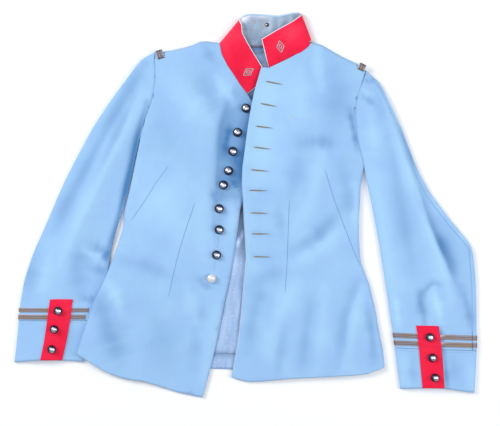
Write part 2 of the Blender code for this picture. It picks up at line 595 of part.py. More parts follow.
def make_sleeve(side, sections, armhole, folds, braids, tab, buttons, flat_strip, hind_seam_shows):
    """One sleeve: top sleeve and under sleeve, cuff, two braids, the tab over them and its buttons."""
    names = [section.name for section in sections]
    sleeve = Sleeve(side, sections, armhole, folds, flat_strip, hind_seam_shows)
    braid_top = names.index("braid top")
    cuff_seam = names.index("cuff seam")
    hem = len(sections) - 1
    last = SLEEVE_PARTS - 1

    places = [k / 2 for k in range(2 * cuff_seam + 1)]
    top_rows = []
    for place in places:
        row = sleeve.across(place, "bottom", (1 / SLEEVE_PARTS,)) + sleeve.inner_side(place)
        row += sleeve.over_top(place, 1)
        if not hind_seam_shows:
            row += sleeve.outer_side(place) + sleeve.across(place, "bottom", (last / SLEEVE_PARTS,))
        top_rows.append(row)
    sleeve.solid("top_sleeve_" + side, top_rows, CLOTH, "blue wool")

    under_rows = []
    for place in places if hind_seam_shows else range(cuff_seam + 1):
        if hind_seam_shows:
            row = [sleeve.point(place, 1, "top", 2 * SEAM_GAP - HIND_SEAM_INSET)] + sleeve.outer_side(place)
            row += sleeve.across(place, "bottom", parts_between(2, last)[::-1])
        else:
            row = [sleeve.point(place, last / SLEEVE_PARTS, "bottom", -2 * SEAM_GAP)]
            row += sleeve.across(place, "bottom", parts_between(2, last - 1)[::-1])
        under_rows.append(row + [sleeve.point(place, 1 / SLEEVE_PARTS, "bottom", 2 * SEAM_GAP)])
    sleeve.solid("under_sleeve_" + side, under_rows, CLOTH, "blue wool")

    seam_length = abs(sections[cuff_seam + 1].inner_y - sections[cuff_seam].inner_y)
    cuff_rows = []
    for place in (cuff_seam + SEAM_GAP / seam_length, cuff_seam + 1, hem):
        row = sleeve.inner_side(place) + sleeve.over_top(place, 1)
        row += sleeve.outer_side(place) + sleeve.across(place, "bottom", parts_between(2, last - 1)[::-1])
        cuff_rows.append(row)
    sleeve.solid("cuff_" + side, cuff_rows, CLOTH, "blue wool", ring=True)

    # The braid goes over the top, and round the edge where the body doesn't cover it
    for name, (start, end) in braids.items():
        rows = []
        for place in (braid_top + start, braid_top + end):
            row = sleeve.over_top(place, 2)
            if flat_strip:
                insets = (flat_strip - BRAID_RUNS_ON[name], flat_strip)
                row = [sleeve.point(place, 0, "top", inset) for inset in insets] + row
            else:
                row = sleeve.inner_side(place)[2:] + sleeve.across(place, "top", (1 / SLEEVE_PARTS,)) + row
            row += sleeve.outer_side(place)[:3]
            rows.append(row[::-1] if sleeve.outward > 0 else row)
        raised = moved_out(rows, SEAM_GAP + BRAID)
        wall(f"braid_{name}_{side}", raised, BRAID, "grey braid")

    # The tab ramps up over the two braids
    braid_length = abs(sections[cuff_seam].outer_y - sections[braid_top].outer_y)
    hem_length = abs(sections[hem].outer_y - sections[hem - 1].outer_y)
    tab_top = names.index("tab top")
    low = SEAM_GAP
    high = SEAM_GAP + BRAID + SEAM_GAP
    stretches = (
        (tab_top + max(tab.start), low),
        (braid_top - TAB_RAMP / braid_length, low),
        (braid_top + braids["upper"][0] - TAB_BEFORE_BRAID, high),
        (braid_top + braids["lower"][1] + TAB_AFTER_BRAID, high),
        (cuff_seam + TAB_RAMP / seam_length, low),
        (cuff_seam + 1, low),
        (hem - SEAM_GAP / hem_length, low),
    )
    rows = []
    for place, _ in stretches:
        down = (place - stretches[0][0]) / (hem - stretches[0][0])
        start, end = between(tab.top, tab.hem, down)
        shares = (start, *parts_between(3, 4), end)
        row = sleeve.across(place, "top", shares)
        if place == stretches[0][0]:
            corners = [between(*tab.start, (share - start) / (end - start)) for share in shares]
            row = [sleeve.point(tab_top + corner, share, "top") for corner, share in zip(corners, shares)]
        rows.append(row[::-1] if sleeve.outward > 0 else row)
    raised = moved_out(rows, [offset + TAB_CLOTH for _, offset in stretches])
    tab_object = wall("cuff_tab_" + side, raised, TAB_CLOTH, "red wool")
    for number, (x, y) in enumerate(buttons, 1):
        button = turned(f"cuff_button_{side}{number}", BUTTON_PROFILE, CUFF_BUTTON_SCALE, "silver")
        seat(button, tab_object, x, y)


def fold_stations(before, fold, after):
    """Stations round a fold, on a half circle from the upper layer to the lower one."""
    middle = between(before[1:], after[1:], 0.5)
    reach = np.array(fold[1:5]) - middle[:4]
    stations = []
    for step in range(1, FOLD_STEPS):
        angle = math.pi * step / FOLD_STEPS
        place = between(before[1:5], after[1:5], step / FOLD_STEPS) + reach * math.sin(angle)
        height = before.height + (after.height - before.height) * (1 - math.cos(angle)) / 2
        stations.append(Station(fold.name, *place, height))
    return stations


def collar_rows(stations, edge_inset):
    """The outer face of the collar, with its neck and top edges drawn in by the inset."""
    rows = []
    for station in stations:
        neck = np.array((station.neck_x, station.neck_y))
        top = np.array((station.top_x, station.top_y))
        line = (top - neck) / np.linalg.norm(top - neck)
        neck = neck + line * (SEAM_GAP + edge_inset)
        top = top - line * edge_inset
        places = [between(neck, top, k / COLLAR_PARTS) for k in range(COLLAR_PARTS + 1)]
        rows.append([(*place, station.height) for place in places])
    return np.array(rows)


def make_collar():
    """The red stand collar with its lining, folded at both sides so that its ends lie to the front."""
    stations = COLLAR_RIGHT_END + fold_stations(COLLAR_RIGHT_END[-1], COLLAR_RIGHT_FOLD, COLLAR_BACK[0])
    stations += COLLAR_BACK + fold_stations(COLLAR_BACK[-1], COLLAR_LEFT_FOLD, COLLAR_LEFT_END[0])
    stations += COLLAR_LEFT_END
    wall("collar", collar_rows(stations, 0), COLLAR_CLOTH, "red wool")
    inner = collar_rows(stations, COLLAR_LINING_INSET)
    inner[0] = between(inner[0], inner[1], COLLAR_LINING_ENDS[0])
    inner[-1] = between(inner[-1], inner[-2], COLLAR_LINING_ENDS[1])
    lining_rows = moved_out(inner, -(COLLAR_CLOTH + LAYER_GAP))
    return wall("collar_lining", lining_rows, COLLAR_SATIN, "pale satin")


def centre_on_origin():
    """Moves everything so that the middle of the whole, on the surface, is the origin."""
    bpy.context.view_layer.update()
    graph = bpy.context.evaluated_depsgraph_get()
    corners = []
    for obj in bpy.context.collection.objects:
        evaluated = obj.evaluated_get(graph)
        corners += [evaluated.matrix_world @ vertex.co for vertex in evaluated.data.vertices]
    lowest = Vector(np.min(corners, axis=0))
    highest = Vector(np.max(corners, axis=0))
    middle = (lowest + highest) / 2
    shift = Matrix.Translation((-middle.x, -middle.y, -lowest.z))
    for obj in bpy.context.collection.objects:
        obj.matrix_world = shift @ obj.matrix_world


for leftover in list(bpy.data.objects):
    bpy.data.objects.remove(leftover)

make_back()
make_lining()
fronts = make_fronts()
for number, (x, y) in enumerate(FRONT_BUTTONS, 1):
    front_button = turned(f"front_button_{number}", BUTTON_PROFILE, 1, "silver")
    seat(front_button, fronts["right"], x, y, BUTTON_TILTS.get(number, (0, 0)))
right_armhole = [(section.side_x, section.side_y) for section in RIGHT_FRONT[ARMPIT:]]
left_armhole = [(section.side_x, section.side_y) for section in LEFT_FRONT[ARMPIT:]]
make_sleeve(
    "r", RIGHT_SLEEVE, right_armhole, RIGHT_SLEEVE_FOLDS, RIGHT_BRAIDS, RIGHT_TAB, RIGHT_CUFF_BUTTONS,
    flat_strip=24, hind_seam_shows=False,
)
make_sleeve(
    "l", LEFT_SLEEVE, left_armhole, LEFT_SLEEVE_FOLDS, LEFT_BRAIDS, LEFT_TAB, LEFT_CUFF_BUTTONS,
    flat_strip=0, hind_seam_shows=True,
)
collar_lining = make_collar()
stud = turned("collar_stud", STUD_PROFILE, 1, "dark metal")
seat(stud, collar_lining, *STUD_PLACE)
centre_on_origin()
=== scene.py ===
# A light blue wool tunic with a red stand collar and braided cuffs, laid flat on its back.
# Left and right are the wearer's. Tables are in millimetres, meshes in metres.

import math
from collections import namedtuple

import bmesh
import bpy
import numpy as np
from mathutils import Matrix, Vector
from mathutils.bvhtree import BVHTree
from mathutils.kdtree import KDTree
from mathutils.noise import noise


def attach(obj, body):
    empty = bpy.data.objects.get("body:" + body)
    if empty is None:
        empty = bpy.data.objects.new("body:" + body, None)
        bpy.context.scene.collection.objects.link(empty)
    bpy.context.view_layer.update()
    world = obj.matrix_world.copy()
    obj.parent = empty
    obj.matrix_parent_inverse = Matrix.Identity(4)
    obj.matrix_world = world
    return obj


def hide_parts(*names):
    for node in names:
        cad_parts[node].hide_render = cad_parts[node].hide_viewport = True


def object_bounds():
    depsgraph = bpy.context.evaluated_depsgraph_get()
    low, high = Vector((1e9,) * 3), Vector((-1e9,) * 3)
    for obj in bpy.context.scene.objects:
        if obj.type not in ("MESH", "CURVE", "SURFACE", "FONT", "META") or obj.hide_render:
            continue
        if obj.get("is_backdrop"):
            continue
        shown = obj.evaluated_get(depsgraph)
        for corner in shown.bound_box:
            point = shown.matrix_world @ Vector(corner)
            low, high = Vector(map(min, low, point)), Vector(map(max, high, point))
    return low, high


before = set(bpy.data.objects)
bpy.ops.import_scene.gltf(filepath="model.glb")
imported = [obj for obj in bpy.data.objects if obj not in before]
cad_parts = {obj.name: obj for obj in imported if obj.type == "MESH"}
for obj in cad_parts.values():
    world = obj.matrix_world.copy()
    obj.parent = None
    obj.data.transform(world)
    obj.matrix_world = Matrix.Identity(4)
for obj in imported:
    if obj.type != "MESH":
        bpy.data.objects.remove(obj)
cad_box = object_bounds()
MM = 0.001

# The back: one broad panel of fulled wool cloth, cut on the surface under both fronts.
# Its underside is what the tunic rests on, so that side stays flat.
RIM_ANGLE = math.radians(65)
MERGE_DISTANCE = 0.00001
SEAM_FADE = 7.0
DRAPE_SIZE = 0.055
FLUTTER_SIZE, FLUTTER_SHARE = 0.017, 0.35
WOOL_THICKNESS = 1.5

# A crease is a trough or ridge: its height, its tone, which is painted shade where below 0 and painted light
# where above 0 (-1 to 1), its half width, its line from above, and how much wider it is on the side that
# lies left of its direction.
Crease = namedtuple("Crease", "height tone width points left", defaults=(1.0,))
# The back lies in the collar's shade where it shows inside the neck
BACK_CREASES = (Crease(0, -0.9, 7, ((-6, 298), (22, 298), (50, 298))),)


def mesh_from(name, bm):
    """The mesh of a finished bmesh."""
    mesh = bpy.data.meshes.new(name)
    bm.to_mesh(mesh)
    bm.free()
    return mesh


def vectors_of(mesh, kind):
    """The places ("co") or the normals ("normal") of a mesh's points, as rows."""
    flat = np.empty(len(mesh.vertices) * 3)
    mesh.vertices.foreach_get(kind, flat)
    return flat.reshape(-1, 3)


def outer_face(node, lies_flat=False):
    """The face of a packed cloth wall that shows, as an open sheet without its inner face and rim."""
    bm = bmesh.new()
    bm.from_mesh(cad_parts[node].data)
    bmesh.ops.remove_doubles(bm, verts=bm.verts, dist=MERGE_DISTANCE)
    bmesh.ops.split_edges(bm, edges=[edge for edge in bm.edges if edge.calc_face_angle(0) > RIM_ANGLE])
    bm.faces.ensure_lookup_table()
    seen = set()
    kept, kept_score = [], -1.0
    for first in bm.faces:
        if first in seen:
            continue
        island = [first]
        seen.add(first)
        for face in island:
            for edge in face.edges:
                near = [other for other in edge.link_faces if other not in seen]
                seen.update(near)
                island += near
        areas = [face.calc_area() for face in island]
        middles = [face.calc_center_median() for face in island]
        centre = sum((middle * area for middle, area in zip(middles, areas)), Vector()) / sum(areas)
        score = sum(areas) * centre.z
        if not lies_flat:
            score = sum(
                (middle - centre).dot(face.normal) * area
                for face, middle, area in zip(island, middles, areas)
            )
        if score > kept_score:
            kept, kept_score = island, score
    kept = set(kept)
    bmesh.ops.delete(bm, geom=[face for face in bm.faces if face not in kept], context="FACES")
    bmesh.ops.join_triangles(
        bm, faces=bm.faces, angle_face_threshold=math.radians(25), angle_shape_threshold=math.pi,
    )
    return bm


def finer(bm, levels):
    """The sheet's mesh, rounded between its edges, which stay where they are."""
    pinned = bm.verts.layers.float.new("crease_vert")
    for vert in bm.verts:
        vert[pinned] = float(vert.is_boundary)
    rough = bpy.data.objects.new("rough", mesh_from("rough", bm))
    bpy.context.collection.objects.link(rough)
    rounding = rough.modifiers.new("rounding", "SUBSURF")
    rounding.levels = levels
    rounding.render_levels = levels
    graph = bpy.context.evaluated_depsgraph_get()
    fine = bpy.data.meshes.new_from_object(rough.evaluated_get(graph))
    bpy.data.objects.remove(rough)
    return fine


def edge_distance(mesh):
    """How far each point lies from the sheet's own edges, in metres."""
    bm = bmesh.new()
    bm.from_mesh(mesh)
    edge_points = [vert.co.copy() for vert in bm.verts if vert.is_boundary]
    tree = KDTree(len(edge_points))
    for index, point in enumerate(edge_points):
        tree.insert(point, index)
    tree.balance()
    distances = np.array([tree.find(vert.co)[2] for vert in bm.verts])
    bm.free()
    return distances


def smooth(value):
    value = np.clip(value, 0, 1)
    return value * value * (3 - 2 * value)


def crease_strokes(points, creases):
    """The height in metres and the tone, painted shade and light, that the creases add at each point, seen
    from above.
    """
    places = points[:, :2] / MM
    height = np.zeros(len(places))
    tone = np.zeros(len(places))
    for number, crease in enumerate(creases):
        line = np.array(crease.points, float)
        gap = np.full(len(places), np.inf)
        side = np.zeros(len(places))
        share = np.zeros(len(places))
        for k, (start, end) in enumerate(zip(line, line[1:])):
            run = end - start
            along = np.clip((places - start) @ run / (run @ run), 0, 1)
            off = places - start - along[:, None] * run
            distance = np.linalg.norm(off, axis=1)
            nearer = distance < gap
            gap = np.where(nearer, distance, gap)
            side = np.where(nearer, run[0] * off[:, 1] - run[1] * off[:, 0], side)
            share = np.where(nearer, (k + along) / (len(line) - 1), share)
        uneven = 1 + 0.18 * np.sin(9.0 * share + 1.7 * number) + 0.08 * np.sin(23.0 * share + number)
        width = crease.width * np.where(side > 0, crease.left, 1.0) * uneven
        fade = np.sin(math.pi * np.clip(share, 0.04, 0.96)) ** 0.5
        stroke = fade * uneven * np.exp(-((gap / width) ** 2))
        height += crease.height * stroke
        tone += crease.tone * stroke
    return height * MM, tone


def drape_height(points, amount):
    """Low, broad unevenness of cloth that lies loosely, in metres."""
    waves = [
        noise(Vector(point) / DRAPE_SIZE) + FLUTTER_SHARE * noise(Vector(point) / FLUTTER_SIZE)
        for point in points
    ]
    return np.array(waves) * amount * MM


def object_of(name, mesh, material, thickness):
    """A piece of cloth from its outer face. The cloth's thickness goes inwards from it."""
    mesh.shade_smooth()
    mesh.materials.clear()
    mesh.materials.append(material)
    piece = bpy.data.objects.new(name, mesh)
    bpy.context.collection.objects.link(piece)
    if thickness:
        wall = piece.modifiers.new("cloth thickness", "SOLIDIFY")
        wall.thickness = thickness * MM
        wall.offset = -1
    return piece


def cloth(name, node, creases, material, thickness, drape=0.5, edge_creases=(), lies_flat=False, levels=3):
    """A thin shell on a packed cloth wall, with its creases, which die out towards its seams."""
    mesh = finer(outer_face(node, lies_flat), levels)
    points = vectors_of(mesh, "co")
    facing = vectors_of(mesh, "normal")[:, 2]
    upward = np.clip(facing * 1.6, 0, 1)
    inside = smooth(edge_distance(mesh) / (SEAM_FADE * MM))
    height, tone = crease_strokes(points, creases)
    edge_height, edge_tone = crease_strokes(points, edge_creases)
    height = (height + drape_height(points, drape)) * inside + edge_height
    points[:, 2] = np.maximum(points[:, 2] + height * upward, 0)
    mesh.vertices.foreach_set("co", points.ravel())
    # The tone is painted shade and light, which the materials read
    toned = mesh.attributes.new("tone", "FLOAT", "POINT")
    toned.data.foreach_set("value", np.clip(tone + edge_tone, -1, 1))
    mesh.update()
    piece = object_of(name, mesh, material, thickness)
    # Where its inner face would reach below what the tunic lies on, the cloth is pressed thinner
    shell = vectors_of(piece.evaluated_get(bpy.context.evaluated_depsgraph_get()).to_mesh(), "co")
    outer, inner = shell[:len(points), 2], shell[len(points):, 2]
    pressed = piece.vertex_groups.new(name="pressed")
    pressed.add(range(len(points)), 1.0, "REPLACE")
    for index in np.nonzero(inner < 0)[0]:
        pressed.add([int(index)], float(outer[index] / (outer[index] - inner[index])), "REPLACE")
    piece.modifiers["cloth thickness"].vertex_group = pressed.name
    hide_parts(node)
    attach(piece, "root")
    return piece


class Painting:
    """A material being built: its shader, and the nodes that feed it."""

    def __init__(self, name, settings):
        self.material = bpy.data.materials.new(name)
        self.material.use_nodes = True
        self.tree = self.material.node_tree
        self.shader = self.tree.nodes["Principled BSDF"]
        self.set_inputs(self.shader, settings)
        self.place = self.add("TexCoord", "Object")

    def set_inputs(self, node, inputs):
        """Gives each named input a value, or links it to another node's output."""
        for label, value in inputs.items():
            if isinstance(value, bpy.types.NodeSocket):
                self.tree.links.new(value, node.inputs[label])
            else:
                node.inputs[label].default_value = value

    def add(self, kind, output, inputs=None, **settings):
        """Adds a node and returns one of its outputs."""
        node = self.tree.nodes.new("ShaderNode" + kind)
        for label, value in settings.items():
            setattr(node, label, value)
        self.set_inputs(node, inputs or {})
        return node.outputs[output]

    def attribute(self, name):
        return self.add("Attribute", "Fac", attribute_name=name)

    def noise(self, scale, detail=2.0, roughness=0.5, vector=None):
        inputs = {"Vector": vector or self.place, "Scale": scale, "Detail": detail, "Roughness": roughness}
        return self.add("TexNoise", "Fac", inputs)

    def wave(self, scale, distortion=0.0, direction="X"):
        inputs = {"Vector": self.place, "Scale": scale, "Distortion": distortion}
        return self.add("TexWave", "Fac", inputs, bands_direction=direction)

    def maths(self, operation, *inputs, clamp=False):
        return self.add("Math", "Value", dict(enumerate(inputs)), operation=operation, use_clamp=clamp)

    def ramp(self, value, low, high, top=1.0, bottom=0.0):
        """A value spread between two limits, from the bottom at the low one to the top at the high one."""
        inputs = {"Value": value, "From Min": low, "From Max": high, "To Min": bottom, "To Max": top}
        return self.add("MapRange", "Result", inputs)

    def mix(self, factor, first, second):
        """Two colours mixed. Each is given as red, green and blue, or is another node's output."""
        first, second = [(*side, 1) if isinstance(side, tuple) else side for side in (first, second)]
        return self.add("Mix", "Result", {"Factor": factor, "A": first, "B": second}, data_type="RGBA")

    def distance_to(self, x, y):
        """How far a place is from an upright line through a point in millimetres."""
        level = self.add("VectorMath", "Vector", {0: self.place, 1: (1, 1, 0)}, operation="MULTIPLY")
        return self.add("VectorMath", "Value", {0: level, 1: (x * MM, y * MM, 0)}, operation="DISTANCE")

    def done(self, colour, height=None, strength=0.0, depth=0.0):
        """The finished material, with its colour and, where there is one, its relief."""
        self.set_inputs(self.shader, {"Base Color": colour})
        if height:
            relief = self.add("Bump", "Normal", {"Height": height, "Strength": strength, "Distance": depth})
            self.set_inputs(self.shader, {"Normal": relief})
        return self.material


def wool_material(name, colour, deep_shade, pale, nap_size=900.0, cloud_size=16.0, sheen=0.15):
    """Fulled, brushed wool: its colour, the deeper one of painted shade in its hollows, and the paler one of
    its mottling and of painted light on its ridges.
    """
    wool = Painting(name, {
        "Roughness": 0.92, "Specular IOR Level": 0.12, "Sheen Weight": sheen, "Sheen Roughness": 0.5,
    })
    # Fibres lie down the cloth, so the nap is drawn out along Y, and the threads just show through it
    drawn = wool.add("Mapping", "Vector", {"Vector": wool.place, "Scale": (1.0, 0.35, 1.0)})
    nap = wool.noise(nap_size, 4.0, 0.65, drawn)
    weave = wool.wave(330.0, 1.5, "DIAGONAL")
    clouds = wool.ramp(wool.noise(cloud_size, 3.0, 0.55), 0.38, 0.68, 0.3)
    # The tone attribute paints light towards the paler colour and shade towards the deeper one, which the
    # nap also darkens towards a little
    tone = wool.attribute("tone")
    mottled_and_lit = wool.mix(tone, wool.mix(clouds, colour, pale), pale)
    depth = wool.maths("MULTIPLY_ADD", tone, -1.0, wool.ramp(nap, 0.3, 0.75, 0.10), clamp=True)
    relief = wool.maths("MULTIPLY_ADD", weave, 0.25, nap)
    return wool.done(wool.mix(depth, mottled_and_lit, deep_shade), relief, 0.35, 0.0004)


blue_wool = wool_material("blue_wool", (0.322, 0.53, 0.815), (0.07, 0.20, 0.43), (0.405, 0.675, 0.87))
back = cloth("back_panel", "back", BACK_CREASES, blue_wool, WOOL_THICKNESS, drape=0.0, lies_flat=True)

# The lining: lilac satin with a pale woven fleck, felled in round the neck and down both fronts.
# It shows in the opening between the fronts and inside the neck. The turned-up hem lies across its end.
SATIN_THICKNESS = 1.0
# The lining's strokes: painted light on its folds' ridges and painted shade in their troughs, and painted
# shade along the left front's edge, inside the neck, under the collar's front end and along the hem band
LINING_CREASES = (
    Crease(1.6, 0.25, 6, ((-12, -60), (-20, -120), (-34, -190), (-44, -262)), 0.6),
    Crease(1.2, 0.15, 5, ((2, -110), (-8, -170), (-18, -230)), 0.6),
    Crease(1.4, 0, 5, ((-24, -60), (-34, -120), (-48, -190)), 0.5),
    Crease(0, -1.0, 13, ((-8, 60), (-8, 10), (-8, -40), (-9, -86))),
    Crease(0.8, 1.0, 3, ((0, -47), (-9, -62), (-19, -79))),
    Crease(0, -0.45, 9, ((-20, -60), (-31, -110), (-46, -190), (-62, -270))),
    Crease(0, -0.35, 5, ((-2, -100), (-6, -160), (-14, -240))),
    Crease(0, -0.38, 5, ((-84, -280), (-46, -282), (-6, -284))),
    Crease(0, -0.5, 40, ((16, 310), (20, 275), (24, 225))),
    Crease(1.2, 0.3, 3, ((16, 296), (17, 270), (22, 240)), 0.6),
    Crease(0.8, -0.5, 2.5, ((29, 294), (28, 265), (27, 240)), 0.6),
    Crease(0, -0.45, 2.5, ((2, 292), (18, 291), (36, 291))),
    Crease(0, -0.9, 16, ((0, 216), (8, 208), (14, 196))),
)


def satin_material(name, colour, shade, deep_shade, fleck_and_light, fleck_amount, stains=()):
    """Satin: a close lengthwise shine, soft tonal streaks, woven flecks, painted shade and light along its
    creases and, where named, old stains.
    """
    satin = Painting(name, {"Roughness": 0.48, "Specular IOR Level": 0.45, "Sheen Weight": 0.2})
    drawn = satin.add("Mapping", "Vector", {"Vector": satin.place, "Scale": (3.2, 0.7, 1.0)})
    toned = satin.mix(satin.ramp(satin.noise(30.0, 5.0, vector=drawn), 0.35, 0.7), colour, shade)
    flecks = satin.add("TexVoronoi", "Distance", {"Vector": satin.place, "Scale": 190.0})
    flecked = satin.mix(satin.ramp(flecks, 0.30, 0.12, fleck_amount), toned, fleck_and_light)
    # The tone attribute paints shade towards the deeper colour and light towards the fleck colour
    tone = satin.attribute("tone")
    deepened = satin.mix(satin.maths("MULTIPLY", tone, -1.0, clamp=True), flecked, deep_shade)
    last = satin.mix(tone, deepened, fleck_and_light)
    ragged = satin.noise(260.0, 4.0)
    for x, y, radius, stain in stains:
        frayed = satin.maths("MULTIPLY_ADD", ragged, radius * 1.4 * MM, satin.distance_to(x, y))
        last = satin.mix(satin.ramp(frayed, radius * 1.7 * MM, radius * 0.9 * MM, 0.75), last, stain)
    return satin.done(last, satin.wave(420.0, 0.6), 0.15, 0.0002)


lilac_satin = satin_material(
    "lilac_satin", (0.35, 0.51, 0.77), (0.28, 0.42, 0.67), (0.012, 0.035, 0.085), (0.72, 0.78, 0.92), 0.5,
    ((-39, -281, 2.4, (0.30, 0.27, 0.33)),),
)
lining = cloth(
    "lining_strip", "lining", (), lilac_satin, SATIN_THICKNESS, drape=0, edge_creases=LINING_CREASES,
    lies_flat=True,
)
# Painted shade along the hem band's top edge, where it meets the lining
HEM_BAND_CREASES = (Crease(0, -0.3, 4, ((-90, -286), (-46, -287), (4, -289))),)
hem_band = cloth(
    "hem_band", "back_hem_band", (), lilac_satin, SATIN_THICKNESS, drape=0, edge_creases=HEM_BAND_CREASES,
    lies_flat=True,
)

# The right front: a waist-shaped panel with two darts, that carries the buttons.
# Its button stand lies low beside the other front's edge, and the chest rises steeply beyond the buttons.
RIGHT_FRONT_CREASES = (
    # The button stand, which lies low in the other front's shade
    Crease(0, -0.66, 7, ((-30, 206), (-46, 150), (-53, 70), (-54, 28), (-52, 0)), 4.3),
    Crease(0, -1.0, 23, ((18, 206), (6, 150), (-2, 100), (-8, 60), (-9, 20)), 0.5),
    Crease(0, -0.3, 6, ((-60, -4), (-60, -40), (-58, -80)), 2.2),
    Crease(2.6, 0, 18, ((-44, 196), (-60, 143), (-68, 70), (-73, 10), (-72, -28)), 0.55),
    Crease(-1.0, -0.45, 6, ((-30, 150), (-36, 122), (-40, 98))),
    Crease(-0.8, -0.4, 4, ((-20, 92), (-12, 82), (-6, 68))),
    Crease(-0.8, -0.4, 4, ((-30, 50), (-20, 38), (-9, 27))),
    Crease(-0.6, -0.35, 5, ((-64, 30), (-62, 14), (-56, 2))),
    Crease(0.6, 0.3, 7, ((-30, 4), (-26, -20), (-30, -60))),
    # Neck and chest
    Crease(-1.0, -0.24, 9, ((-78, 306), (-70, 286), (-54, 266))),
    Crease(1.0, 0.45, 8, ((-56, 246), (-36, 214), (-22, 194))),
    Crease(-1.0, -0.22, 18, ((-90, 254), (-66, 205), (-52, 178))),
    Crease(1.2, 0.4, 17, ((-128, 222), (-106, 193), (-76, 168))),
    Crease(-0.8, -0.16, 26, ((-168, 200), (-150, 120), (-110, 90))),
    # Waist and skirt
    Crease(1.2, 0.36, 34, ((-190, 40), (-140, -12), (-88, -56))),
    Crease(0, 0.3, 14, ((-92, 20), (-84, -30), (-86, -80))),
    Crease(-1.6, -0.2, 12, ((-246, -104), (-190, -116), (-134, -140))),
    Crease(2.4, 0.55, 9, ((-262, -146), (-243, -174), (-229, -214))),
    Crease(-1.6, -0.3, 16, ((-284, -165), (-268, -212), (-258, -269))),
    Crease(-1.0, -0.25, 20, ((-256, -236), (-236, -296))),
    Crease(-1.0, -0.15, 26, ((-184, -200), (-160, -250), (-140, -320))),
    Crease(1.2, 0.3, 10, ((-112, -155), (-100, -199), (-88, -244))),
    Crease(-1.2, -0.2, 12, ((-84, -180), (-92, -240), (-100, -310))),
    Crease(-0.8, -0.35, 6, ((-90, -138), (-80, -152), (-62, -158))),
    Crease(0.8, 0.2, 10, ((-50, -180), (-64, -250), (-78, -330))),
)
right_front = cloth("right_front", "front_right", RIGHT_FRONT_CREASES, blue_wool, WOOL_THICKNESS)

# The left front: the same panel mirrored, which lies on top with its nine worked buttonholes.
# Its edge stands a little proud of the button stand, and the skirt falls in soft flutes.
BUTTONHOLES = (
    ((38, 235), (70, 229)), ((28, 193), (60, 187)), ((19, 150), (52, 146)), ((15, 110), (48, 106)),
    ((10, 67), (44, 64)), ((7, 28), (41, 27)), ((10, -15), (42, -16)), ((12, -55), (45, -55)),
    ((15, -98), (47, -99)),
)
LEFT_FRONT_CREASES = (
    # The chest: light along the buttonholes, in shade towards the armhole
    Crease(0, 0.65, 26, ((52, 262), (38, 200), (30, 140), (26, 60))),
    Crease(-2.0, -0.34, 12, ((108, 118), (141, 120), (172, 114))),
    Crease(-0.8, -0.18, 14, ((106, 108), (96, 60), (84, -3))),
    Crease(1.6, 0.42, 11, ((146, 98), (136, 48), (128, 10), (104, -44))),
    Crease(-1.4, -0.6, 6, ((198, 180), (205, 143), (214, 106))),
    Crease(-0.6, -0.24, 24, ((160, 272), (176, 210), (170, 140))),
    Crease(0.8, 0.4, 8, ((138, 300), (138, 263), (144, 219))),
    Crease(0.6, 0.25, 14, ((100, 240), (104, 200), (100, 160))),
    # The waist
    Crease(-1.2, -0.22, 14, ((183, 78), (194, 22), (196, -20))),
    Crease(0.8, 0.4, 8, ((212, 35), (213, -22), (215, -66))),
    Crease(-2.0, -0.34, 12, ((178, -14), (138, -60), (90, -88))),
    Crease(1.6, 0.4, 10, ((176, -52), (136, -90), (97, -112))),
    Crease(-0.8, -0.2, 12, ((14, -150), (42, -134), (80, -128))),
    Crease(-0.8, -0.18, 9, ((60, 0), (66, -30), (72, -70))),
    # The skirt falls in soft flutes
    Crease(2.0, 0.45, 12, ((100, -148), (67, -206), (42, -280))),
    Crease(-1.4, -0.25, 13, ((34, -155), (16, -199), (4, -280))),
    Crease(-1.6, -0.26, 11, ((212, -146), (190, -212), (174, -305))),
    Crease(2.4, 0.5, 9, ((222, -160), (206, -225), (194, -305))),
    Crease(-1.6, -0.35, 8, ((232, -190), (240, -246), (244, -300))),
    Crease(-1.4, -0.25, 10, ((124, -176), (114, -244), (106, -320))),
    Crease(1.2, 0.25, 9, ((151, -165), (145, -244), (138, -312))),
    Crease(-1.0, -0.2, 9, ((72, -230), (66, -280), (60, -330))),
) + tuple(
    # A pucker round each buttonhole, with a little painted shade
    Crease(-0.6, -0.14, 5, ((start[0] - 10, start[1] + 2), (end[0] + 10, end[1] - 2)))
    for start, end in BUTTONHOLES
)
LEFT_EDGE_CREASES = (
    # The edge stands proud, with a little painted light along it
    Crease(3.4, 0.12, 16, (
        (28, 262), (19, 223), (9, 180),
        (-1, 114), (-7, 55), (-5, 11), (-3, -30), (-1, -72), (0, -102), (-5, -152),
    )),
)
left_front = cloth(
    "left_front", "front_left", LEFT_FRONT_CREASES, blue_wool, WOOL_THICKNESS,
    edge_creases=LEFT_EDGE_CREASES,
)

# The sleeves: each in two pieces, a top sleeve and an under sleeve, set into the armhole.
# They lie flattened, with a long fold down the middle and short ones inside the elbow.
# The sleeves' strokes paint shade in the troughs of their folds and light on their ridges
RIGHT_SLEEVE_CREASES = (
    Crease(-2.6, -0.42, 11, (
        (-190, 268), (-214, 231), (-252, 168), (-283, 111), (-312, 54), (-340, 3), (-364, -52),
    )),
    Crease(2.2, 0.4, 10, (
        (-195, 206), (-220, 155), (-252, 92), (-283, 29), (-315, -35), (-353, -117), (-372, -155),
    )),
    Crease(-1.0, -0.25, 8, ((-210, 204), (-243, 134), (-275, 64))),
    # Painted shadow down the inner edge, where the body's side lies over the sleeve
    Crease(0, -0.95, 7, ((-189, 196), (-208, 118), (-230, 22), (-252, -60), (-266, -102))),
    Crease(-1.8, -0.4, 10, ((-290, -80), (-272, -87), (-256, -106))),
    Crease(1.4, 0.3, 7, ((-310, -84), (-286, -98), (-268, -110))),
    Crease(-1.2, -0.35, 9, ((-298, -120), (-274, -125), (-262, -120))),
    Crease(-1.0, -0.25, 18, ((-309, -70), (-322, -117), (-315, -160))),
    Crease(-1.0, -0.35, 7, ((-312, -176), (-298, -182), (-286, -176))),
    Crease(-1.2, -0.25, 14, ((-400, -80), (-410, -130), (-418, -176))),
    Crease(1.2, 0.35, 8, ((-368, -90), (-376, -130), (-384, -160))),
)
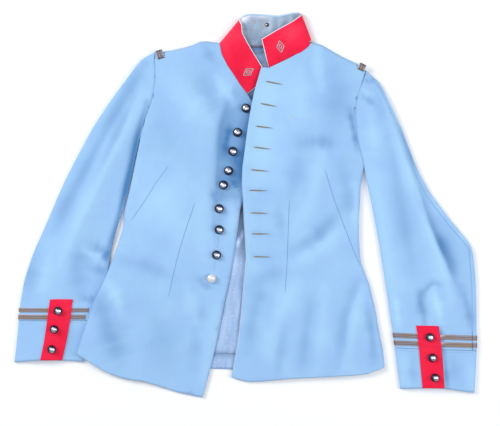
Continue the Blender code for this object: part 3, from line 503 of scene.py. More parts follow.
LEFT_SLEEVE_CREASES = (
    # The long fold down the middle: bright along its top, in deep shade on its outer side
    Crease(3.0, 0.75, 13, ((271, 200), (293, 124), (325, 29), (350, -47), (375, -117), (393, -180)), 0.4),
    Crease(-2.2, -0.72, 5, ((324, 20), (343, -24), (362, -62), (384, -106), (400, -152)), 2.6),
    Crease(-1.0, -0.45, 6, ((280, 184), (301, 117), (316, 67), (326, 30)), 1.5),
    Crease(0, -0.12, 26, ((350, -20), (380, -60), (404, -110))),
    Crease(1.0, 0.5, 12, ((232, 92), (256, -16), (272, -117), (288, -218))),
    Crease(-1.4, -0.24, 13, ((280, 126), (288, 35), (304, -54), (320, -132))),
    Crease(0.8, 0.45, 10, ((236, 181), (243, 124), (248, 92))),
    Crease(-1.2, -0.4, 8, ((327, -202), (334, -168), (356, -149), (384, -152))),
    Crease(1.4, 0.55, 8, ((354, -170), (364, -202))),
    Crease(0.6, 0.8, 6, ((356, -160), (366, -190), (370, -226))),
    Crease(-0.8, -0.4, 7, ((330, -176), (338, -205), (341, -246))),
    Crease(0.6, 0.6, 6, ((284, -176), (288, -204), (291, -236))),
    Crease(-1.2, -0.4, 8, ((411, -160), (424, -200), (430, -240))),
    # Painted shadow beside the cuff tab's long edge
    Crease(0, -0.6, 3, ((369, -228), (371, -250), (375, -284)), 1.6),
    Crease(1.2, 0.2, 10, ((360, 18), (394, -22), (424, -66))),
    Crease(-1.4, -0.35, 5, ((225, 239), (236, 234), (247, 238))),
    Crease(-1.2, -0.3, 5, ((220, 206), (233, 200), (247, 188))),
    Crease(1.2, 0.2, 5, ((221, 222), (232, 214), (242, 212)), 0.7),
    Crease(-0.8, -0.2, 14, ((252, 214), (272, 160), (284, 124))),
)
sleeves = {}
for side, side_creases in (("r", RIGHT_SLEEVE_CREASES), ("l", LEFT_SLEEVE_CREASES)):
    for part in ("top_sleeve_", "under_sleeve_"):
        node = part + side
        # The right under sleeve lies flat on the surface, so the creases only shade it
        flat_side = node == "under_sleeve_r"
        creases = [crease._replace(height=0.0) for crease in side_creases] if flat_side else side_creases
        piece = cloth(
            node + "_cloth", node, creases, blue_wool, WOOL_THICKNESS, drape=0 if flat_side else 0.5,
            lies_flat=flat_side,
        )
        sleeves[node] = piece

# The cuffs: plain bands of the same cloth, sewn on at a seam just under the lower braid.
# The cuffs' folds, with painted shade in their troughs and painted light on their ridges
CUFF_CREASES = {
    "r": (Crease(-0.9, -0.15, 10, ((-330, -232), (-334, -262), (-336, -290))),),
    "l": (
        Crease(0.8, 0.3, 10, ((296, -284), (302, -318), (304, -344))),
        Crease(-1.0, -0.16, 10, ((318, -284), (316, -316), (316, -344))),
        Crease(-1.0, -0.16, 12, ((390, -284), (396, -316), (400, -340))),
        Crease(0.8, 0.3, 9, ((428, -296), (431, -330), (431, -352))),
        # Painted shadow beside the cuff tab's long edge
        Crease(0, -0.6, 3, ((374, -262), (378, -300), (384, -356)), 1.6),
    ),
}
cuffs = {}
for side, flat_cut in (("r", (0.28, 0.078)), ("l", (0.31, 0.08))):
    cuffs[side] = cloth(
        "cuff_cloth_" + side, "cuff_" + side, CUFF_CREASES[side], blue_wool, WOOL_THICKNESS, drape=0.3,
    )

# The braid: two rows of grey metallic braid round each sleeve, sewn flat above the cuff's seam.
# It has ribs along its length between two pale selvedges, and has tarnished brown in places.
BRAID_THICKNESS = 0.8
BRAID_CLEAR = 0.4
RIB_TURNS = 18.8
CAST_HEIGHT = 0.1
LAID_UPWARD = 0.35


def surface_of(*pieces):
    """The finished surface of some pieces, for laying other pieces on."""
    graph = bpy.context.evaluated_depsgraph_get()
    points, faces = [], []
    for piece in pieces:
        mesh = piece.evaluated_get(graph).to_mesh()
        first = len(points)
        points += [vert.co.copy() for vert in mesh.vertices]
        faces += [[first + index for index in face.vertices] for face in mesh.polygons]
    return BVHTree.FromPolygons(points, faces)


def on_cloth(surface, x, y):
    """The point of a surface straight below a place in millimetres."""
    return surface.ray_cast(Vector((x * MM, y * MM, CAST_HEIGHT)), Vector((0, 0, -1)))[0]


def laid_on(mesh, surface, offset):
    """Lifts each point of a sheet until it lies at least an offset in millimetres above a surface."""
    points = vectors_of(mesh, "co")
    upward = vectors_of(mesh, "normal")[:, 2]
    for index in np.nonzero(upward > LAID_UPWARD)[0]:
        hit = on_cloth(surface, *(points[index, :2] / MM))
        if hit is not None:
            points[index, 2] = hit.z + offset * MM
    mesh.vertices.foreach_set("co", points.ravel())
    mesh.update()


def braid_material(name, base, dark, pale, brown, shade):
    """Metallic braid: ribs across its width by the piece's own attribute, painted darker between them, and a
    twill along it.
    """
    braid = Painting(name, {"Roughness": 0.5, "Metallic": 0.35})
    across = braid.attribute("across")
    # In the grooves between the ribs the braid is painted dark: painted shade
    ribs = braid.ramp(braid.maths("SINE", braid.maths("MULTIPLY", across, RIB_TURNS)), -1.0, 1.0)
    tarnish_and_dark_reflection = braid.ramp(braid.noise(45.0, 4.0), 0.42, 0.66, 0.8)
    browned = braid.mix(tarnish_and_dark_reflection, braid.mix(ribs, dark, base), brown)
    # The two selvedges are the first and last tenth of the width
    from_middle = braid.maths("ABSOLUTE", braid.maths("SUBTRACT", across, 0.5))
    edged = braid.mix(braid.ramp(from_middle, 0.37, 0.42, 0.8), browned, pale)
    # Where the tone is below 0 the braid goes towards the shade colour: painted shade
    depth = braid.maths("MULTIPLY", braid.attribute("tone"), -1.0, clamp=True)
    relief = braid.maths("ADD", braid.wave(260.0, direction="DIAGONAL"), ribs)
    return braid.done(braid.mix(depth, edged, shade), relief, 0.5, 0.0003)


grey_braid = braid_material(
    "grey_braid", (0.33, 0.28, 0.30), (0.12, 0.10, 0.115), (0.50, 0.50, 0.60), (0.26, 0.17, 0.10),
    (0.04, 0.045, 0.06),
)


def braid_strip(node):
    """The braid's own sheet, with how far each point lies across it as an attribute."""
    bm = outer_face(node)
    across = bm.verts.layers.float.new("across")
    for face in bm.faces:
        upward = sorted(face.verts, key=lambda vert: vert.co.y)
        for vert in upward[len(upward) // 2:]:
            vert[across] = 1.0
    return finer(bm, 3)


def shaded(mesh, creases):
    """Writes the tone, painted shade and light, that some strokes add as the sheet's own attribute."""
    tone = crease_strokes(vectors_of(mesh, "co"), creases)[1]
    mesh.attributes.new("tone", "FLOAT", "POINT").data.foreach_set("value", np.clip(tone, -1, 1))


braids = {}
for side in ("r", "l"):
    under = surface_of(sleeves["top_sleeve_" + side], sleeves["under_sleeve_" + side], cuffs[side])
    for row in ("upper", "lower"):
        node = f"braid_{row}_{side}"
        mesh = braid_strip(node)
        laid_on(mesh, under, BRAID_THICKNESS + BRAID_CLEAR)
        braid = object_of(node + "_strip", mesh, grey_braid, BRAID_THICKNESS)
        braids[node] = braid
        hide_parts(node)
        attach(braid, "root")

# The cuff tabs: red rectangles of the collar's cloth, sewn over both rows of braid.
TAB_THICKNESS = 1.4
TAB_CLEAR = 0.3
red_wool = wool_material(
    "red_wool", (0.86, 0.013, 0.055), (0.57, 0.006, 0.035), (0.97, 0.045, 0.10), 1100.0, 30.0, 0.1,
)
tabs = {}
for side in ("r", "l"):
    rows = [braids[f"braid_{row}_{side}"] for row in ("upper", "lower")]
    under = surface_of(sleeves["top_sleeve_" + side], cuffs[side], *rows)
    mesh = finer(outer_face("cuff_tab_" + side, lies_flat=True), 4)
    laid_on(mesh, under, TAB_THICKNESS + TAB_CLEAR)
    # The tab bridges the steps at the braid's edges
    bm = bmesh.new()
    bm.from_mesh(mesh)
    for _ in range(4):
        inside = [vert for vert in bm.verts if not vert.is_boundary]
        bmesh.ops.smooth_vert(bm, verts=inside, factor=0.5, use_axis_z=True)
    bm.to_mesh(mesh)
    bm.free()
    tab = object_of("cuff_tab_cloth_" + side, mesh, red_wool, TAB_THICKNESS)
    tabs[side] = tab
    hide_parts("cuff_tab_" + side)
    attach(tab, "root")

# The shoulder loops: short lengths of stiff braid that bow up over the outer end of each shoulder seam.
# Each stands a little past the shoulder: its lower left corner and its run and rise there, from above.
LoopPlace = namedtuple("LoopPlace", "corner along up")
LOOP_PLACES = {
    "r": LoopPlace((-167.1, 276.2), (13.1, 3.8), (-5.2, 15.8)),
    "l": LoopPlace((211.8, 258.6), (12.2, -5.8), (5.6, 12.2)),
}
LOOP_CELLS = 10
LOOP_CLEAR = 0.3
LOOP_BOW = 0.9
# Painted shade at the loop's two ends: its strength, and its half width at the low and the high end
LOOP_TONE = -0.9
LOW_SHADE, HIGH_SHADE = 2.2, 2.6
for side, front in (("r", right_front), ("l", left_front)):
    node = "shoulder_loop_" + side
    corner, along, up = [Vector(part) for part in LOOP_PLACES[side]]
    bm = bmesh.new()
    bmesh.ops.create_grid(bm, x_segments=LOOP_CELLS, y_segments=LOOP_CELLS, size=0.5)
    bmesh.ops.translate(bm, verts=bm.verts, vec=(0.5, 0.5, 0))
    across = bm.verts.layers.float.new("across")
    surface = surface_of(front)
    rest = on_cloth(surface, *(corner + along / 2))
    for vert in bm.verts:
        share_along, share_up = vert.co.x, vert.co.y
        vert[across] = share_along
        place = corner + along * share_along + up * share_up
        hit = on_cloth(surface, *place)
        level = max(rest.z, hit.z if hit else 0)
        bow = BRAID_THICKNESS + LOOP_CLEAR + LOOP_BOW * math.sin(math.pi * share_up)
        vert.co = (place.x * MM, place.y * MM, level + bow * MM)
    mesh = mesh_from(node, bm)
    low_end = (corner, corner + along)
    high_end = (corner + up, corner + up + along)
    # Both ends of the loop, where it goes down to the cloth, are painted in shade
    shaded(mesh, (Crease(0, LOOP_TONE, LOW_SHADE, low_end), Crease(0, LOOP_TONE, HIGH_SHADE, high_end)))
    loop = object_of(node + "_braid", mesh, grey_braid, BRAID_THICKNESS)
    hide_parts(node)
    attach(loop, "root")

# The collar: a stand collar of red wool, with both front ends turned forward as the tunic lies.
# Inside it is lined in pale satin, which is pleated by wear, stained, and turned out as a thin edge.
COLLAR_THICKNESS = 1.8
COLLAR_LINING_THICKNESS = 0.8
# The lining's strokes: painted light along its top and upper left, painted shade low inside the collar, and
# painted shade and light along its pleats
COLLAR_LINING_CREASES = (
    Crease(0, 1.0, 8, ((4, 362), (-8, 352), (-14, 342), (-12, 316))),
    Crease(0, 0.8, 5, ((-14, 356), (8, 363), (38, 362), (66, 362))),
    Crease(0, -0.45, 22, ((8, 338), (16, 318), (30, 312))),
    Crease(0.5, 0.3, 3, ((46, 358), (46, 335), (44, 312))),
    Crease(-0.5, -0.4, 3, ((56, 358), (55, 335), (52, 312))),
    Crease(0.6, 0.3, 3, ((66, 358), (64, 335), (60, 312)), 0.7),
    Crease(-0.5, -0.4, 3, ((76, 360), (73, 338), (70, 320))),
    Crease(0.5, 0.3, 3, ((86, 362), (84, 340), (82, 326)), 0.7),
    Crease(-0.4, -0.3, 4, ((95, 364), (94, 350), (93, 336))),
)
STAINS = (
    (17, 349, 5.2, (0.34, 0.29, 0.27)),
    (31, 350, 5.6, (0.38, 0.32, 0.29)),
    (-1, 334, 4.6, (0.28, 0.25, 0.24)),
    (10, 333, 4.0, (0.29, 0.25, 0.25)),
    (34, 338, 4.6, (0.36, 0.31, 0.29)),
    (5, 347, 2.6, (0.36, 0.33, 0.32)),
)
COLLAR_CREASES = (
    # Painted light high up on both ends, and painted shade towards the opening
    Crease(0, 0.8, 22, ((-58, 306), (-36, 318), (-18, 336))),
    Crease(0, 0.8, 18, ((68, 330), (84, 330), (98, 312))),
    Crease(0, -0.7, 9, ((30, 262), (24, 236), (10, 218))),
    Crease(0, -0.35, 12, ((-6, 262), (-12, 240), (0, 222))),
    Crease(0, -0.35, 10, ((60, 270), (76, 282), (96, 290))),
)
collar = cloth(
    "collar_cloth", "collar", (), red_wool, COLLAR_THICKNESS, drape=0.15, edge_creases=COLLAR_CREASES,
)
pale_satin = satin_material(
    "pale_satin", (0.35, 0.45, 0.59), (0.28, 0.38, 0.51), (0.09, 0.15, 0.24), (0.86, 0.87, 0.93), 0.08,
    STAINS,
)
collar_lining = cloth(
    "collar_lining_satin", "collar_lining", (), pale_satin, COLLAR_LINING_THICKNESS, drape=0,
    edge_creases=COLLAR_LINING_CREASES,
)

# The collar stud: a small dark metal knob inside the collar at the back, worn to brass in one spot.
SPOT_X, SPOT_Y, SPOT_RADIUS = 39.2, 343.4, 1.7
metal = Painting("dark_metal", {"Metallic": 0.6, "Roughness": 0.45})
spot = metal.ramp(metal.distance_to(SPOT_X, SPOT_Y), SPOT_RADIUS * 1.2 * MM, SPOT_RADIUS * 0.6 * MM)
stud_metal = metal.done(metal.mix(spot, (0.05, 0.055, 0.07), (0.60, 0.50, 0.34)))
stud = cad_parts["collar_stud"]
stud.data.materials.clear()
stud.data.materials.append(stud_metal)

# The buttons: half balls of silvered metal with a rolled rim, each on a shank through the cloth.
# The nine on the front and the three on each cuff are alike, the cuff's a little smaller.
BUTTON_HEIGHT = 9.8
BUTTON_PROFILE = (
    (0, 0), (2.4, 0), (2.4, 2.3), (5.0, 2.5), (7.8, 2.5), (8.5, 2.7), (8.7, 3.2), (8.55, 3.7), (8.2, 3.9),
    (8.05, 4.4), (7.7, 5.6), (6.9, 7.0), (5.6, 8.25), (3.9, 9.2), (2.0, 9.68), (0, 9.8),
)
BUTTON_SIDES = 40


def button_material(name, bright, metallic):
    """Silvered metal: bright round a painted highlight on the dome, and duller and blue-black towards the
    rim, a painted dark reflection with random mottling.
    """
    metal = Painting(name, {"Metallic": metallic})
    low = metal.maths("SUBTRACT", metal.attribute("tarnish_and_dark_reflection"), 0.16)
    amount = metal.maths("MULTIPLY_ADD", metal.noise(260.0, 4.0), 0.4, low, clamp=True)
    metal.set_inputs(metal.shader, {"Roughness": metal.ramp(amount, 0.0, 1.0, 0.42, 0.16)})
    return metal.done(metal.mix(amount, bright, (0.045, 0.055, 0.09)))


def seat_of(node):
    """Where a packed button sits: its base, its axis and its height, from its own points."""
    points = vectors_of(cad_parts[node].data, "co")
    points = np.unique(np.round(points, 6), axis=0)
    middle = points.mean(axis=0)
    _, axes = np.linalg.eigh(np.cov((points - middle).T))
    axis = axes[:, 0] * math.copysign(1, axes[2, 0])
    reach = (points - middle) @ axis
    return Vector(middle + axis * reach.min()), Vector(axis), reach.max() - reach.min()


def turned(profile, sides):
    """A turned solid from a profile of radius and height in millimetres, as a bmesh."""
    bm = bmesh.new()
    points = [bm.verts.new((radius * MM, 0, height * MM)) for radius, height in profile]
    edges = [bm.edges.new(pair) for pair in zip(points, points[1:])]
    bmesh.ops.spin(
        bm, geom=points + edges, cent=(0, 0, 0), axis=(0, 0, 1), angle=math.tau, steps=sides, use_merge=True,
    )
    bmesh.ops.remove_doubles(bm, verts=bm.verts, dist=MERGE_DISTANCE)
    bmesh.ops.recalc_face_normals(bm, faces=bm.faces)
    return bm


# Each row's painted highlight lies round a point on the dome; the painted dark reflection starts and is full
# at these distances, with a small dark spot inside the highlight. The lowest front button is a paler, less
# metallic copy without it: painted light
DARK_REFLECTION_START, DARK_REFLECTION_END = 3.6, 6.4
FRONT_SHINE = (-1.1, 1.2)
CUFF_SHINES = {"r": (-1.4, -0.5), "l": (1.6, -1.1)}
INNER_SPOT = (0.6, -1.3, 1.3)
INNER_DARK_REFLECTION = 0.8
LIT_BUTTON = "front_button_9"
silver = button_material("silver_button", (0.78, 0.78, 0.84), 1.0)
lit_silver = button_material("lit_button", (0.88, 0.85, 0.82), 0.25)
for node in [node for node in sorted(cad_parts) if "button" in node]:
    base, axis, height = seat_of(node)
    bm = turned(BUTTON_PROFILE, BUTTON_SIDES)
    # This attribute is 0 at the painted highlight and 1 where the painted dark reflection is full
    tarnish_and_dark_reflection = bm.verts.layers.float.new("tarnish_and_dark_reflection")
    shine_x, shine_y = FRONT_SHINE if node.startswith("front") else CUFF_SHINES[node[-2]]
    spot_x, spot_y, spot_radius = INNER_SPOT
    amount = 0.0 if node == LIT_BUTTON else 1.0
    for vert in bm.verts:
        x, y = vert.co.x / MM, vert.co.y / MM
        from_shine = math.hypot(x - shine_x, y - shine_y)
        from_spot = math.hypot(x - shine_x - spot_x, y - shine_y - spot_y)
        outer = smooth((from_shine - DARK_REFLECTION_START) / (DARK_REFLECTION_END - DARK_REFLECTION_START))
        vert[tarnish_and_dark_reflection] = amount * max(outer, INNER_DARK_REFLECTION * (1 - smooth(from_spot / spot_radius)))
    size = height / (BUTTON_HEIGHT * MM)
    turn = axis.to_track_quat("Z", "Y").to_matrix().to_4x4()
    placed = Matrix.Translation(base) @ turn @ Matrix.Scale(size, 4)
    bmesh.ops.transform(bm, matrix=placed, verts=bm.verts)
    metal = lit_silver if node == LIT_BUTTON else silver
    button = object_of(node + "_ball", mesh_from(node + "_ball", bm), metal, 0)
    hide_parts(node)
    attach(button, "root")

# The seams and darts that show, pressed flat, and the fine stitches along the button stand and the cuffs.
# All of it lies on the finished cloth, a little sunk in it.
DART_LINES = {
    "right": (
        ((-146, 75), (-170, 43), (-195, 3), (-219, -31)), ((-97, 3), (-113, -44), (-128, -92), (-147, -173)),
    ),
    "left": (
        ((150, 69), (166, 16), (185, -35), (207, -92), (218, -116)),
        ((83, 9), (81, -41), (79, -104), (75, -166)),
    ),
}
DART_WIDTH, DART_RISE = 0.9, 0.2
RUN_SIDES = 8


def thread_material(name, colour, pale, roughness=0.7, metallic=0.0):
    """Twisted thread: its colour, paler in places."""
    thread = Painting(name, {"Roughness": roughness, "Metallic": metallic})
    return thread.done(thread.mix(thread.noise(420.0), colour, pale))


def even_places(line, step):
    """Places at even steps along a line from above, in millimetres."""
    line = np.array(line, float)
    lengths = np.concatenate(([0], np.cumsum(np.linalg.norm(np.diff(line, axis=0), axis=1))))
    shares = np.linspace(0, lengths[-1], max(2, round(lengths[-1] / step) + 1))
    return list(zip(np.interp(shares, lengths, line[:, 0]), np.interp(shares, lengths, line[:, 1])))


def run_through(bm, centres, width, rise, closed=False):
    """A flattened round run through some points, which thins out at both ends unless it is closed."""
    count = len(centres)
    loops = []
    for k, centre in enumerate(centres):
        ahead = centres[(k + 1) % count] if closed else centres[min(k + 1, count - 1)]
        behind = centres[k - 1] if closed else centres[max(k - 1, 0)]
        turn = (ahead - behind).to_track_quat("Y", "Z").to_matrix().to_4x4()
        thick = 1.0 if closed else min(1.0, 0.3 + 0.35 * min(k, count - 1 - k))
        size = Matrix.Diagonal((width / 2 * thick * MM, 1, rise * thick * MM, 1))
        upright = Matrix.Rotation(math.pi / 2, 4, "X")
        ring = bmesh.ops.create_circle(
            bm, segments=RUN_SIDES, radius=1, cap_ends=not closed and k in (0, count - 1),
            matrix=Matrix.Translation(centre) @ turn @ size @ upright,
        )
        loops.append(list({edge for vert in ring["verts"] for edge in vert.link_edges}))
    pairs = list(zip(loops, loops[1:]))
    if closed:
        pairs.append((loops[-1], loops[0]))
    for first, second in pairs:
        bmesh.ops.bridge_loops(bm, edges=first + second)


def outline(bm):
    """The points round the edge of an open sheet, in order."""
    first = next(vert for vert in bm.verts if vert.is_boundary)
    loop = [first]
    edge = next(edge for edge in first.link_edges if edge.is_boundary)
    while True:
        vert = edge.other_vert(loop[-1])
        if vert is first:
            return loop
        loop.append(vert)
        edge = next(other for other in vert.link_edges if other.is_boundary and other is not edge)


def seam_between(first, second, reach):
    """The longest run of places halfway between the edges of two pieces that are sewn together."""
    edges = []
    for piece in (first, second):
        bm = bmesh.new()
        bm.from_mesh(piece.data)
        edges.append([vert.co.copy() for vert in outline(bm)])
        bm.free()
    tree = KDTree(len(edges[1]))
    for index, point in enumerate(edges[1]):
        tree.insert(point, index)
    tree.balance()
    runs = [[]]
    for point in edges[0] * 2:
        near, _, distance = tree.find(point)
        if distance < reach * MM and len(runs[-1]) < len(edges[0]):
            runs[-1].append((point + near) / 2)
        elif runs[-1]:
            runs.append([])
    return max(runs, key=len)


def stitches(bm, surface, line, pitch, length, width):
    """A row of single stitches along a line on the cloth."""
    places = even_places(line, pitch)
    for (x, y), (next_x, next_y) in zip(places, places[1:]):
        point = on_cloth(surface, x, y)
        turn = Matrix.Rotation(math.atan2(next_y - y, next_x - x), 4, "Z")
        size = Matrix.Diagonal((length / 2 * MM, width / 2 * MM, width / 2 * MM, 1))
        bmesh.ops.create_uvsphere(
            bm, u_segments=6, v_segments=4, radius=1, matrix=Matrix.Translation(point) @ turn @ size,
        )


def sewn(name, bm, material):
    """A piece of sewing from its finished bmesh."""
    bmesh.ops.recalc_face_normals(bm, faces=bm.faces)
    piece = object_of(name, mesh_from(name, bm), material, 0)
    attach(piece, "root")
    return piece


surfaces = {
    "right": surface_of(right_front), "left": surface_of(left_front),
    "r": surface_of(sleeves["top_sleeve_r"], cuffs["r"]),
    "l": surface_of(sleeves["top_sleeve_l"], sleeves["under_sleeve_l"], cuffs["l"]),
}
seam_thread = thread_material("seam_thread", (0.07, 0.19, 0.36), (0.14, 0.30, 0.52))
bm = bmesh.new()
for side, lines in DART_LINES.items():
    for line in lines:
        places = [on_cloth(surfaces[side], x, y) for x, y in even_places(line, 4.0)]
        run_through(bm, places, DART_WIDTH, DART_RISE)
sewn("dart_seams", bm, seam_thread)

# The sewn seams between the pieces, where the cloth of one is turned under and felled to the other
SEAM_REACH = 2.6
FELL_WIDTH, FELL_RISE = 1.6, 0.25
HIND_SEAM_END = -243
felled = thread_material("felled_seam", (0.19, 0.36, 0.63), (0.27, 0.47, 0.75), 0.9)
bm = bmesh.new()
for first, second in (
    (sleeves["top_sleeve_r"], right_front), (sleeves["top_sleeve_l"], left_front),
    (sleeves["top_sleeve_l"], sleeves["under_sleeve_l"]), (cuffs["r"], sleeves["top_sleeve_r"]),
    (cuffs["l"], sleeves["top_sleeve_l"]), (cuffs["l"], sleeves["under_sleeve_l"]),
):
    places = seam_between(first, second, SEAM_REACH)
    if second is sleeves["under_sleeve_l"] and first is sleeves["top_sleeve_l"]:
        places = [place for place in places if place.y > HIND_SEAM_END * MM]
    if len(places) > 4:
        run_through(bm, places, FELL_WIDTH, FELL_RISE)
sewn("felled_seams", bm, felled)

stand_thread = thread_material("stand_thread", (0.20, 0.27, 0.34), (0.30, 0.38, 0.44))
STAND_STITCHES = (
    ((-4, 170), (-11, 151)), ((-19, 125), (-22, 114)), ((-27, 90), (-30, 78)), ((-44, 26), (-49, 6)),
    ((-51, -19), (-51, -35)), ((-51, -60), (-54, -83)), ((-58, -108), (-60, -124)),
)
bm = bmesh.new()
for line in STAND_STITCHES:
    stitches(bm, surfaces["right"], line, 2.6, 2.0, 0.9)
sewn("stand_stitches", bm, stand_thread)

CUFF_STITCHES = {
    "r": (((-430, -224), (-398, -224)), ((-350, -224), (-312, -223))),
    "l": (((287, -276), (324, -278)), ((375, -280), (434, -281))),
}
cuff_thread = thread_material("cuff_thread", (0.16, 0.30, 0.50), (0.24, 0.40, 0.62))
for side, lines in CUFF_STITCHES.items():
    bm = bmesh.new()
    for line in lines:
        stitches(bm, surfaces[side], line, 2.8, 2.2, 0.7)
    sewn("cuff_stitches_" + side, bm, cuff_thread)

# The pale edge along the lower part of the left front: its facing, turned out by a hair's breadth.
LEFT_EDGE_LINE = (
    (1.5, -30), (0.5, -72), (1.5, -102), (-3.5, -152), (-8.5, -205), (-13.5, -258), (-25, -322),
)
EDGE_WIDTH, EDGE_RISE = 0.9, 0.35
facing_edge = thread_material("facing_edge", (0.62, 0.60, 0.58), (0.72, 0.72, 0.72))
bm = bmesh.new()
edge_points = [on_cloth(surfaces["left"], x, y) for x, y in even_places(LEFT_EDGE_LINE, 4.0)]
run_through(bm, [point for point in edge_points if point], EDGE_WIDTH, EDGE_RISE)
sewn("left_front_edge", bm, facing_edge)

# The buttonholes: each a slit worked all along with close stitches of grey-brown silk, thicker at one end.
# Three short bars of pale thread stand on the left breast.
HOLE_PITCH = 0.85
HOLE_PLUMP, HOLE_RISE = 0.62, 0.5
ROW_SHARE = 0.6
SLIT_WIDTH, SLIT_RISE = 0.7, 0.5
HOLE_WIDTHS = ((0.0, 0.8), (0.12, 1.5), (0.45, 1.7), (0.75, 1.1), (1.0, 0.4))
hole_thread = thread_material("hole_thread", (0.27, 0.27, 0.24), (0.46, 0.44, 0.37), 0.6)
slit_shade = thread_material("slit_shade", (0.035, 0.05, 0.07), (0.06, 0.08, 0.10), 0.9)
holes, slits = bmesh.new(), bmesh.new()
for start, end in BUTTONHOLES:
    places = even_places((start, end), HOLE_PITCH)
    angle = math.atan2(end[1] - start[1], end[0] - start[0])
    for k, (x, y) in enumerate(places):
        half = np.interp(k / (len(places) - 1), *zip(*HOLE_WIDTHS))
        for side in (-1, 1):
            off = side * half * ROW_SHARE
            point = on_cloth(surfaces["left"], x - math.sin(angle) * off, y + math.cos(angle) * off)
            sizes = (HOLE_PITCH * HOLE_PLUMP * MM, half * HOLE_PLUMP * MM, HOLE_RISE * MM, 1)
            bmesh.ops.create_uvsphere(
                holes, u_segments=6, v_segments=4, radius=1,
                matrix=Matrix.Translation(point) @ Matrix.Rotation(angle, 4, "Z") @ Matrix.Diagonal(sizes),
            )
    # A dark run down the middle of each hole: painted shade in the slit
    middle = [on_cloth(surfaces["left"], x, y) for x, y in places[2:-3]]
    run_through(slits, middle, SLIT_WIDTH, SLIT_RISE)
sewn("buttonhole_stitches", holes, hole_thread)
sewn("buttonhole_slits", slits, slit_shade)

BAR_PLACES = ((82, 167), (94, 167), (121, 167))
BAR_LENGTH, BAR_LEAN = 9.0, 0.6
BAR_WIDTH, BAR_RISE = 1.5, 0.6
bar_thread = thread_material("bar_thread", (0.50, 0.55, 0.50), (0.66, 0.68, 0.60))
bm = bmesh.new()
for x, y in BAR_PLACES:
    line = ((x, y - BAR_LENGTH / 2), (x + BAR_LEAN, y + BAR_LENGTH / 2))
    places = [on_cloth(surfaces["left"], x, y) for x, y in even_places(line, 1.5)]
    run_through(bm, places, BAR_WIDTH, BAR_RISE)
sewn("thread_bars", bm, bar_thread)

# The collar's edge: a thin pale cord sewn along its top and both front ends.
# Each end carries an open lozenge of grey metal thread.
PIPING_WIDTH = 2.1
PIPING_OUT = 0.6
PIPING_LOWEST = 1.6
COLLAR_HALF_WALL = 0.9


def strip_sides(bm):
    """The outline of a long strip, cut at its four sharpest corners into its four sides."""
    loop = outline(bm)
    count = len(loop)
    turns = [
        (loop[k].co - loop[k - 1].co).angle(loop[(k + 1) % count].co - loop[k].co) for k in range(count)
    ]
    corners = sorted(sorted(range(count), key=lambda k: -turns[k])[:4])
    sides = []
    for k, corner in enumerate(corners):
        stop = corners[(k + 1) % 4]
        stop += count if stop <= corner else 0
        sides.append([loop[place % count] for place in range(corner, stop + 1)])
    return sides


bm = outer_face("collar")
bm.normal_update()
sides = strip_sides(bm)
top_side = max(range(4), key=lambda k: max(vert.co.y for vert in sides[k]))
edge_verts = sides[top_side - 1][:-1] + sides[top_side] + sides[(top_side + 1) % 4][1:]
rim = []
for vert in edge_verts:
    inner = [other.co for face in vert.link_faces for other in face.verts if not other.is_boundary]
    outward = Vector()
    if inner:
        outward = (vert.co - sum(inner, Vector()) / len(inner)).normalized() * PIPING_OUT
    point = vert.co + (outward - vert.normal * COLLAR_HALF_WALL) * MM
    point.z = max(point.z, PIPING_LOWEST * MM)
    rim.append(point)
bm.free()
bm = bmesh.new()
run_through(bm, rim, PIPING_WIDTH, PIPING_WIDTH / 2)
piping_thread = thread_material("piping_cord", (0.66, 0.74, 0.84), (0.78, 0.83, 0.90))
sewn("collar_piping", bm, piping_thread)

# The neck seam inside, the narrow blue turning at the top of the back, and the left end's roll over its seam
NECK_SEAM = ((4, 301.3), (12, 300.8), (22, 300.6), (34, 300.9))
TOP_TURNING = (
    (-9, 355.0), (-2, 360.4), (10, 362.6), (30, 361.4), (55, 359.2), (64, 359.0), (76, 361.6), (92, 364.8),
    (101, 364.6),
)
LEFT_ROLL = ((92, 286.5), (106.5, 294), (116.5, 302), (122.5, 309))


def edge_run(name, surface, line, inward, lift, width, rise, material):
    """A run along an edge, at a lift above the height of the cloth a little further in."""
    bm = bmesh.new()
    centres = []
    for x, y in even_places(line, 3.0):
        inner = on_cloth(surface, x + inward[0], y + inward[1])
        if inner:
            centres.append(Vector((x * MM, y * MM, inner.z + lift * MM)))
    run_through(bm, centres, width, rise)
    return sewn(name, bm, material)


collar_surface = surface_of(collar)
inner_surface = surface_of(collar_lining)
neck_thread = thread_material("neck_seam", (0.05, 0.08, 0.13), (0.12, 0.16, 0.24), 0.9)
turning = thread_material("top_turning", (0.36, 0.58, 0.80), (0.50, 0.70, 0.88), 0.9)
edge_run("neck_seam", inner_surface, NECK_SEAM, (0, 2.8), 0.8, 3.2, 0.8, neck_thread)
edge_run("top_turning", inner_surface, TOP_TURNING, (0, -3.2), 0.0, 2.6, 0.8, turning)
edge_run("left_roll", collar_surface, LEFT_ROLL, (-2.5, 2.5), 0.0, 5.0, 0.35, red_wool)

LOZENGES = ((5, 253, 35), (66, 301, 100))
LOZENGE_HALVES = ((11.4, 7.0), (5.0, 3.0))
LOZENGE_WIDTH, LOZENGE_RISE = 1.9, 0.7
lozenge_thread = thread_material("lozenge_thread", (0.30, 0.27, 0.31), (0.48, 0.45, 0.50), 0.5, 0.3)
bm = bmesh.new()
for x, y, angle in LOZENGES:
    turn = Matrix.Rotation(math.radians(angle), 2)
    for long_half, short_half in LOZENGE_HALVES:
        corners = [turn @ Vector(corner) for corner in (
            (long_half, 0), (0, short_half), (-long_half, 0), (0, -short_half), (long_half, 0),
        )]
        places = even_places([(x + corner.x, y + corner.y) for corner in corners], 1.2)[:-1]
        thread = [on_cloth(collar_surface, *place) for place in places]
        run_through(bm, thread, LOZENGE_WIDTH, LOZENGE_RISE, closed=True)
sewn("collar_lozenges", bm, lozenge_thread)

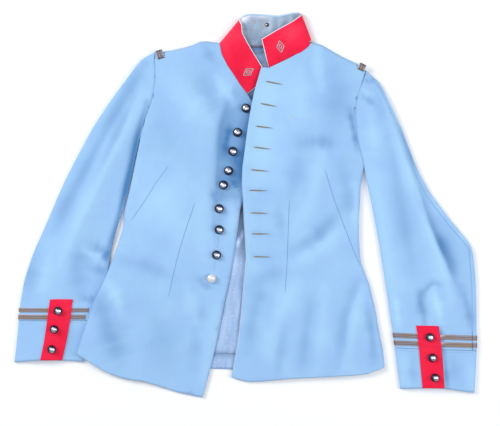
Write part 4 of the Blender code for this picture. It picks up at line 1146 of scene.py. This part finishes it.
# The floor, lights and camera: a pale floor, soft light from wide panels, and the view from straight above.
# None of it is part of the tunic.
FLOOR_SIDE = 6.0
FLOOR_DROP = 0.0006
CAMERA_HEIGHT = 4.0
FRAME_WIDTH = 0.9524
SENSOR_WIDTH = 36
FRAME_CENTRE = (0.0081, -0.0152)
bm = bmesh.new()
bmesh.ops.create_grid(bm, x_segments=1, y_segments=1, size=FLOOR_SIDE / 2)
bmesh.ops.translate(bm, verts=bm.verts, vec=(0, 0, -FLOOR_DROP))
paper = Painting("floor_paper", {"Base Color": (0.93, 0.93, 0.93, 1), "Roughness": 0.9}).material
floor = object_of("floor", mesh_from("floor", bm), paper, 0)
floor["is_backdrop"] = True

Panel = namedtuple("Panel", "name place width length power")
for panel in (
    Panel("left_panel", (-2.2, 1.1, 1.9), 1.4, 1.4, 62),
    Panel("right_panel", (2.0, -0.3, 1.7), 1.4, 1.4, 29),
    Panel("overhead_panel", (0.0, -0.2, 3.2), 2.4, 2.0, 24),
):
    lamp = bpy.data.lights.new(panel.name, "AREA")
    lamp.shape = "RECTANGLE"
    lamp.size = panel.width
    lamp.size_y = panel.length
    lamp.energy = panel.power
    light = bpy.data.objects.new(panel.name, lamp)
    light.location = panel.place
    light.rotation_euler = (-Vector(panel.place)).to_track_quat("-Z", "Y").to_euler()
    bpy.context.collection.objects.link(light)
world = bpy.data.worlds.new("studio")
world.use_nodes = True
world.node_tree.nodes["Background"].inputs["Color"].default_value = (0.82, 0.88, 1.0, 1)
world.node_tree.nodes["Background"].inputs["Strength"].default_value = 0.36
bpy.context.scene.world = world
bpy.context.scene.view_settings.view_transform = "Standard"

lens = bpy.data.cameras.new("camera")
lens.sensor_width = SENSOR_WIDTH
lens.lens = SENSOR_WIDTH * CAMERA_HEIGHT / FRAME_WIDTH
camera = bpy.data.objects.new("camera", lens)
camera.location = (*FRAME_CENTRE, CAMERA_HEIGHT)
bpy.context.collection.objects.link(camera)
bpy.context.scene.camera = camera

visual_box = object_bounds()
sizes = {"cad": [list(corner) for corner in cad_box], "visual": [list(corner) for corner in visual_box]}
